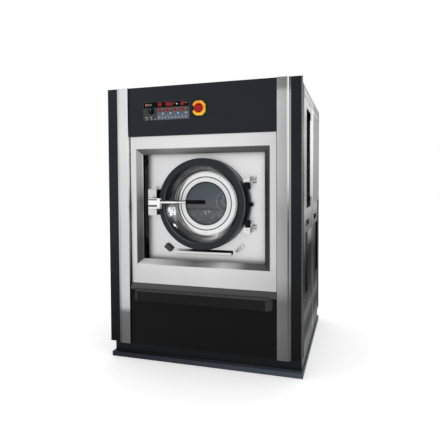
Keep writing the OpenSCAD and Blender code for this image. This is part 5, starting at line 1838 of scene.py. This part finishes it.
    def add_pieces(self) -> None:
        """Adds the band, the figures, the signs and the lamp."""
        place_piece(Bench.block("overlay_band", *self.band, 0.0001), "cabinet",
                    BAND_FILM)
        self.print_marks("display_segments", "cabinet", "display", SEGMENT_GLOW, self.figures())
        self.print_marks("overlay_signs", "cabinet", "overlay", WHITE_INK,
                         self.upper_signs() + self.icon_signs() + self.scale_signs())
        self.print_marks("water_signs", "cabinet", "overlay", BLUE_INK, self.water_signs())
        self.print_marks("window_rims", "cabinet", "overlay", RIM_INK, self.rims())
        self.build_lamp()
        pointer = Mark(self.knob[0], self.knob[1] + 0.008, 0.0016, 0.012,
                       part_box("program_knob")[0].y)
        self.print_marks("knob_pointer", "knob", "black_plastic", WHITE_INK, [pointer])
        self.build_key_signs()
        self.print_marks("stop_arrows", "emergency_button", "red", ROSE_INK, self.arrows())


@dataclass
class Door(Assembly):
    """The round door with its ring, dish, glass, seal, screws, latch and lever."""

    nodes = {
        RING_PAINT: ("door_ring",),
        BOWL_METAL: ("door_bowl",),
        CLAMP_METAL: ("clamp_ring",),
        GLASS: ("door_glass",),
        YOKE_PAINT: ("door_yoke",),
        PIN_METAL: ("hinge_pins", "lock_bolt"),
        BRACKET_METAL: ("hinge_brackets",),
        PLATE_STEEL: ("tub_front_plate",),
        LATCH_STEEL: ("latch_bracket",),
        BLACK_PLASTIC: ("lock_block", "lever_grip"),
        LEVER_METAL: ("door_lever",),
        GUTTER_STEEL: ("drip_gutter",),
        BUFFER_RUBBER: ("buffer_block",),
        RUBBER: ("door_gasket",),
    }
    seal_depth: float = 0.006
    seal: Profile = ((0.1508, -0.0030), (0.1508, 0.0026), (0.1472, 0.0026), (0.1462, 0.0008),
                     (0.1475, -0.0018))
    screw_circle: float = 0.2025
    screw_count: int = 12
    clamp_head: Profile = ((0.0027, 0.0022), (0.0027, 0.0004), (0.0023, -0.0002),
                           (0.0014, -0.0002), (0.0013, 0.0012), (0.0004, 0.0014))
    bracket_head: Profile = ((0.0052, 0.0), (0.0052, -0.0022), (0.0046, -0.0032),
                             (0.0028, -0.0032), (0.0026, -0.0010), (0.0008, -0.0008))
    bracket_face: float = 0.0083
    bracket_inset: tuple[float, float] = (0.005, 0.006)
    bracket_rise: float = 0.166
    cover_left: float = -0.380
    cover_depths: tuple[float, float] = (FRONT + 0.0100, FRONT + 0.0117)
    cover_spans: tuple[Point, ...] = (
        (-0.317, 1.134, 1.201), (-0.361, 1.1015, 1.1345), (-0.317, 1.022, 1.102))
    cheek: tuple[Point, Point] = ((-0.346, FRONT - 0.0560, 1.068), (-0.284, FRONT - 0.0524, 1.141))
    cheek_end: tuple[Point, Point] = (
        (-0.285, FRONT - 0.0560, 1.070), (-0.263, FRONT - 0.0220, 1.141))

    def build_seal(self) -> None:
        """Makes the rubber lip between the clamp ring and the glass."""
        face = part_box("clamp_ring")[0].y + self.seal_depth
        seal = Bench.turned("glass_seal", (0.0, face, DOOR_Z), self.seal, 96, closed=True)
        Bench.smooth(seal, 35)
        place_piece(seal, "door", SEAL_RUBBER)

    def build_clamp_screws(self) -> None:
        """Makes one socket screw in the clamp ring and copies it round."""
        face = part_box("clamp_ring")[0].y
        screw = Bench.turned("clamp_screws", (0.0, face, DOOR_Z + self.screw_circle),
                             self.clamp_head, 18)
        to_axis = Matrix.Translation((0, 0, DOOR_Z))
        turns = [to_axis @ Matrix.Rotation(math.tau * index / self.screw_count, 4, "Y")
                 @ to_axis.inverted() for index in range(1, self.screw_count)]
        place_piece(Bench.copies(screw, turns), "door", SCREW_METAL)

    def build_latch_cover(self) -> None:
        """Adds the sheet over the latch bracket's front, notched where the tongue passes."""
        front, back = self.cover_depths
        sheets = [Bench.block("latch_sheet", (self.cover_left, front, low), (right, back, high),
                              0.0006) for right, low, high in self.cover_spans]
        place_piece(Bench.join("latch_cover", sheets), "tub", LATCH_STEEL)

    def build_clevis(self) -> None:
        """Adds the cheek in front of the lever's knuckle, and its bright end."""
        place_piece(Bench.block("lever_clevis", *self.cheek, 0.0014), "lever",
                    CLEVIS_STEEL)
        place_piece(Bench.block("lever_clevis_end", *self.cheek_end, 0.004), "lever",
                    CLEVIS_END_STEEL)

    def build_bracket_screws(self) -> None:
        """Makes the screws that hold the hinge brackets to the tub's front plate."""
        low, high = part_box("hinge_brackets")
        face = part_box("tub_front_plate")[0].y - self.bracket_face
        left, right = low.x + self.bracket_inset[0], high.x - self.bracket_inset[1]
        screw = Bench.turned("bracket_screws", (left, face, DOOR_Z + self.bracket_rise),
                             self.bracket_head, 18)
        across, down = right - left, -2 * self.bracket_rise
        shifts = [Matrix.Translation(place)
                  for place in ((across, 0, 0), (0, 0, down), (across, 0, down))]
        place_piece(Bench.copies(screw, shifts), "tub", SCREW_METAL)

    def add_pieces(self) -> None:
        """Adds the seal, the screws and the latch's sheet and cheek."""
        self.build_seal()
        self.build_clamp_screws()
        self.build_latch_cover()
        self.build_clevis()
        self.build_bracket_screws()


@dataclass
class Drum(Assembly):
    """The perforated drum that stands for the closed one of the solids."""

    nodes = {
        DRUM_STEEL: ("drum_lifters", "drum_basket"),
        CASTING: ("drum_spider", "drum_pulley"),
        PIN_METAL: ("motor_pulley",),
    }
    radius: float = 0.4985
    front: float = FRONT + 0.230
    back: float = FRONT + 0.850
    margin: float = 0.040
    corner: Profile = ((0.0, 0.014), (-0.004, 0.004), (-0.014, 0.0))
    mouth: float = 0.250
    lip: Profile = ((0.009, 0.0), (0.006, -0.006), (0.001, -0.005))
    back_rings: tuple[float, ...] = (0.30, 0.11, 0.010)
    columns: int = 96
    rows: int = 15
    hole: float = 0.0052
    wall: float = 0.0035
    near: float = 0.002

    def add_pieces(self) -> None:
        """Models the wall from a tube whose grid points are cut to holes, then its ends."""
        Bench.clear()
        low, high = self.front + self.margin, self.back - self.margin
        bpy.ops.mesh.primitive_cylinder_add(
            vertices=self.columns, radius=self.radius, depth=high - low, end_fill_type="NOTHING",
            location=(0, (low + high) / 2, DOOR_Z), rotation=TO_REAR)
        bpy.ops.object.mode_set(mode="EDIT")
        Bench.pick("EDGE", lambda at, run: abs(run.y) > (high - low) / 2)
        bpy.ops.mesh.subdivide(number_cuts=self.rows)
        step = (high - low) / (self.rows + 1)
        half_turn = math.pi / self.columns
        for row in range(1, self.rows + 2, 2):
            level = low + row * step
            Bench.pick("VERT", lambda at, _, y=level: abs(at.y - y) < step / 4)
            bpy.ops.transform.rotate(value=half_turn, orient_axis="Y",
                                     center_override=(0, level, DOOR_Z))
        Bench.pick("VERT", lambda at, _: low + step / 2 < at.y < high - step / 2)
        bpy.ops.mesh.bevel(offset=self.hole, offset_type="OFFSET", segments=2, profile=0.5,
                           affect="VERTICES")
        bpy.ops.mesh.delete(type="FACE")
        self.build_ends(low, high)
        piece = Bench.settle("drum_perforated")
        Bench.thicken(piece, self.wall)
        Bench.smooth(piece, 30)
        place_piece(piece, "drum", DRUM_STEEL)
        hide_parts("drum_basket")

    def build_ends(self, low: float, high: float) -> None:
        """Draws the front edge in to the mouth and closes the rear.

        Args:
            low: the depth of the tube's front edge.
            high: the depth of its rear edge.
        """
        front = [(self.radius + out, self.front + deep) for out, deep in self.corner]
        front += [(self.mouth + out, self.front + deep) for out, deep in self.lip]
        back = [(self.radius + out, self.back - deep) for out, deep in self.corner]
        back += [(radius, self.back) for radius in self.back_rings]
        for edge, profile in ((low, front), (high, back)):
            Bench.pick("VERT", lambda at, _, y=edge: abs(at.y - y) < self.near)
            Bench.follow([(self.radius, edge), *profile], (0, edge, DOOR_Z))
        bpy.ops.mesh.edge_face_add()


@dataclass(frozen=True)
class Flexing:
    """A CAD node between the cabinet and the tub, rebuilt as one mesh."""

    node: str
    name: str
    slot: str
    finish: Finish
    held: float

    def build(self) -> None:
        """Copies the node as one smoothed mesh with its finish, and hides the node."""
        piece = bpy.data.objects.new(self.name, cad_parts[self.node].data.copy())
        bpy.context.collection.objects.link(piece)
        Bench.take(piece)
        Bench.settle(self.name)
        Bench.smooth(piece, 40)
        self.finish.dress(piece)
        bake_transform(piece)
        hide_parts(self.node)
        LOG.info("piece %s between cabinet and tub: %s", self.name, self.finish.name)


@dataclass
class Running(Assembly):
    """The tub, its drive, its suspension and the water parts, dressed as they are."""

    nodes = {
        TUB_STEEL: ("tub_shell",),
        CASTING: ("bearing_housing",),
        PIN_METAL: ("main_bearings", "damper_rods"),
        MOTOR_PAINT: ("motor",),
        CRADLE_PAINT: ("tub_cradle",),
        RUBBER: ("drive_belt",),
        BLACK_PLASTIC: ("damper_bodies",),
        VALVE_PLASTIC: ("inlet_valves",),
        DRAIN_PLASTIC: ("drain_valve",),
    }
    flexing: tuple[Flexing, ...] = (
        Flexing("suspension_springs", "springs_flexing", "spring_steel", SPRING_PAINT, 0.012),
        Flexing("drain_bellows", "bellows_flexing", "black_rubber", RUBBER, 0.030),
    )

    def add_pieces(self) -> None:
        """Adds the springs and the bellows."""
        for part in self.flexing:
            part.build()


@dataclass
class Studio:
    """The pale floor, the soft lamps, the world and the camera.

    A lamp is its name, its place, what it is aimed at, its size and its power.
    """

    camera_place: Point = (0.983, -3.392, 1.252)
    turn: float = 17.076
    pitch: float = 2.033
    roll: float = -0.306
    lens: float = 35.727
    sensor: float = 36
    shift_y: float = -0.0522
    farthest: float = 200
    world_level: float = 0.90
    floor_level: float = 0.90
    floor_spread: float = 0.01
    floor_lift: float = 0.30
    floor_size: float = 40
    floor_drop: float = 0.0005
    lamps: tuple[tuple[str, Point, Point, float, float], ...] = (
        ("key", (2.9, -6.0, 3.6), (0.0, -0.4, 1.0), 3.0, 44),
        ("top", (0.0, 0.4, 5.2), (0.0, 0.0, 1.2), 4.0, 30))
    white: ClassVar[Colour] = (1.0, 1.0, 1.0, 1.0)

    @staticmethod
    def shown_rays(tree: bpy.types.NodeTree) -> Socket:
        """Gives 1 for what the camera sees itself, in a mirror or through glass.

        Args:
            tree: the node tree that reads it.

        Returns:
            The socket.
        """
        rays = tree.nodes.new("ShaderNodeLightPath")
        shown = rays.outputs["Is Camera Ray"]
        for kind in ("Is Glossy Ray", "Is Transmission Ray"):
            either = tree.nodes.new("ShaderNodeMath")
            either.operation = "MAXIMUM"
            tree.links.new(shown, either.inputs[0])
            tree.links.new(rays.outputs[kind], either.inputs[1])
            shown = either.outputs[0]
        return shown

    def build_world(self) -> None:
        """Makes an even pale surround, white to the camera and in reflections."""
        world = bpy.data.worlds.new("surround")
        bpy.context.scene.world = world
        world.use_nodes = True
        tree = world.node_tree
        tree.nodes.clear()
        output = tree.nodes.new("ShaderNodeOutputWorld")
        mixer = tree.nodes.new("ShaderNodeMixShader")
        tree.links.new(self.shown_rays(tree), mixer.inputs[0])
        for target, strength in zip(mixer.inputs[1:], (self.world_level, 1.0)):
            light = tree.nodes.new("ShaderNodeBackground")
            light.inputs["Color"].default_value = self.white
            light.inputs["Strength"].default_value = strength
            tree.links.new(light.outputs[0], target)
        tree.links.new(mixer.outputs[0], output.inputs["Surface"])

    def build_floor(self) -> None:
        """Makes the floor: pale paint that keeps the machine's shadow, white to the camera."""
        Bench.clear()
        bpy.ops.mesh.primitive_plane_add(size=self.floor_size, location=(0, 0, -self.floor_drop))
        floor = Bench.active()
        floor.name = "floor"
        material = bpy.data.materials.new("floor_paint")
        material.use_nodes = True
        tree = material.node_tree
        sockets = tree.nodes["Principled BSDF"].inputs
        noise = tree.nodes.new("ShaderNodeTexNoise")
        noise.inputs["Scale"].default_value = 3.0
        ramp = tree.nodes.new("ShaderNodeValToRGB")
        for point, side in zip(ramp.color_ramp.elements, (-1, 1)):
            point.color = (self.floor_level + side * self.floor_spread,) * 3 + (1,)
        tree.links.new(noise.outputs["Fac"], ramp.inputs["Fac"])
        tree.links.new(ramp.outputs["Color"], sockets["Base Color"])
        sockets["Roughness"].default_value = 0.9
        sockets["Specular IOR Level"].default_value = 0.1
        lift = tree.nodes.new("ShaderNodeMath")
        lift.operation = "MULTIPLY"
        lift.inputs[1].default_value = self.floor_lift
        tree.links.new(self.shown_rays(tree), lift.inputs[0])
        tree.links.new(lift.outputs[0], sockets["Emission Strength"])
        sockets["Emission Color"].default_value = self.white
        floor.data.materials.append(material)

    def build_lamps(self) -> None:
        """Makes the soft lamps."""
        for name, place, target, size, power in self.lamps:
            data = bpy.data.lights.new(name, "AREA")
            data.energy = power
            data.size = size
            lamp = bpy.data.objects.new(name, data)
            lamp.location = place
            aim = Vector(target) - Vector(place)
            lamp.rotation_euler = aim.to_track_quat("-Z", "Y").to_euler()
            bpy.context.scene.collection.objects.link(lamp)

    def build_camera(self) -> None:
        """Makes the camera at the photograph's place and angle."""
        turn, pitch, roll = (math.radians(a) for a in (self.turn, self.pitch, self.roll))
        ahead = Vector((-math.sin(turn) * math.cos(pitch), math.cos(turn) * math.cos(pitch),
                        -math.sin(pitch)))
        level = Vector((math.cos(turn), math.sin(turn), 0.0))
        up = level.cross(ahead)
        right = level * math.cos(roll) + up * math.sin(roll)
        top = up * math.cos(roll) - level * math.sin(roll)
        data = bpy.data.cameras.new("camera")
        data.lens = self.lens
        data.sensor_width = self.sensor
        data.shift_y = self.shift_y
        data.clip_end = self.farthest
        camera = bpy.data.objects.new("camera", data)
        axes = Matrix((right, top, -ahead)).transposed()
        camera.matrix_world = Matrix.Translation(self.camera_place) @ axes.to_4x4()
        bpy.context.scene.collection.objects.link(camera)
        bpy.context.scene.camera = camera

    def build(self) -> None:
        """Builds the studio."""
        bpy.context.scene.view_settings.view_transform = "Standard"
        self.build_world()
        self.build_floor()
        self.build_lamps()
        self.build_camera()


def keep_size() -> None:
    """Updates the view layer."""
    bpy.context.view_layer.update()


def main() -> None:
    """Builds the sub-assemblies in order and reports each."""
    logging.basicConfig(level=logging.INFO, format="%(name)s: %(message)s")
    for part in (Studio(), Running(), Drum(), Door(), Controls(), Cabinet()):
        LOG.info("building %s", type(part).__name__.lower())
        part.build()
    keep_size()


if __name__ == "__main__":
    main()
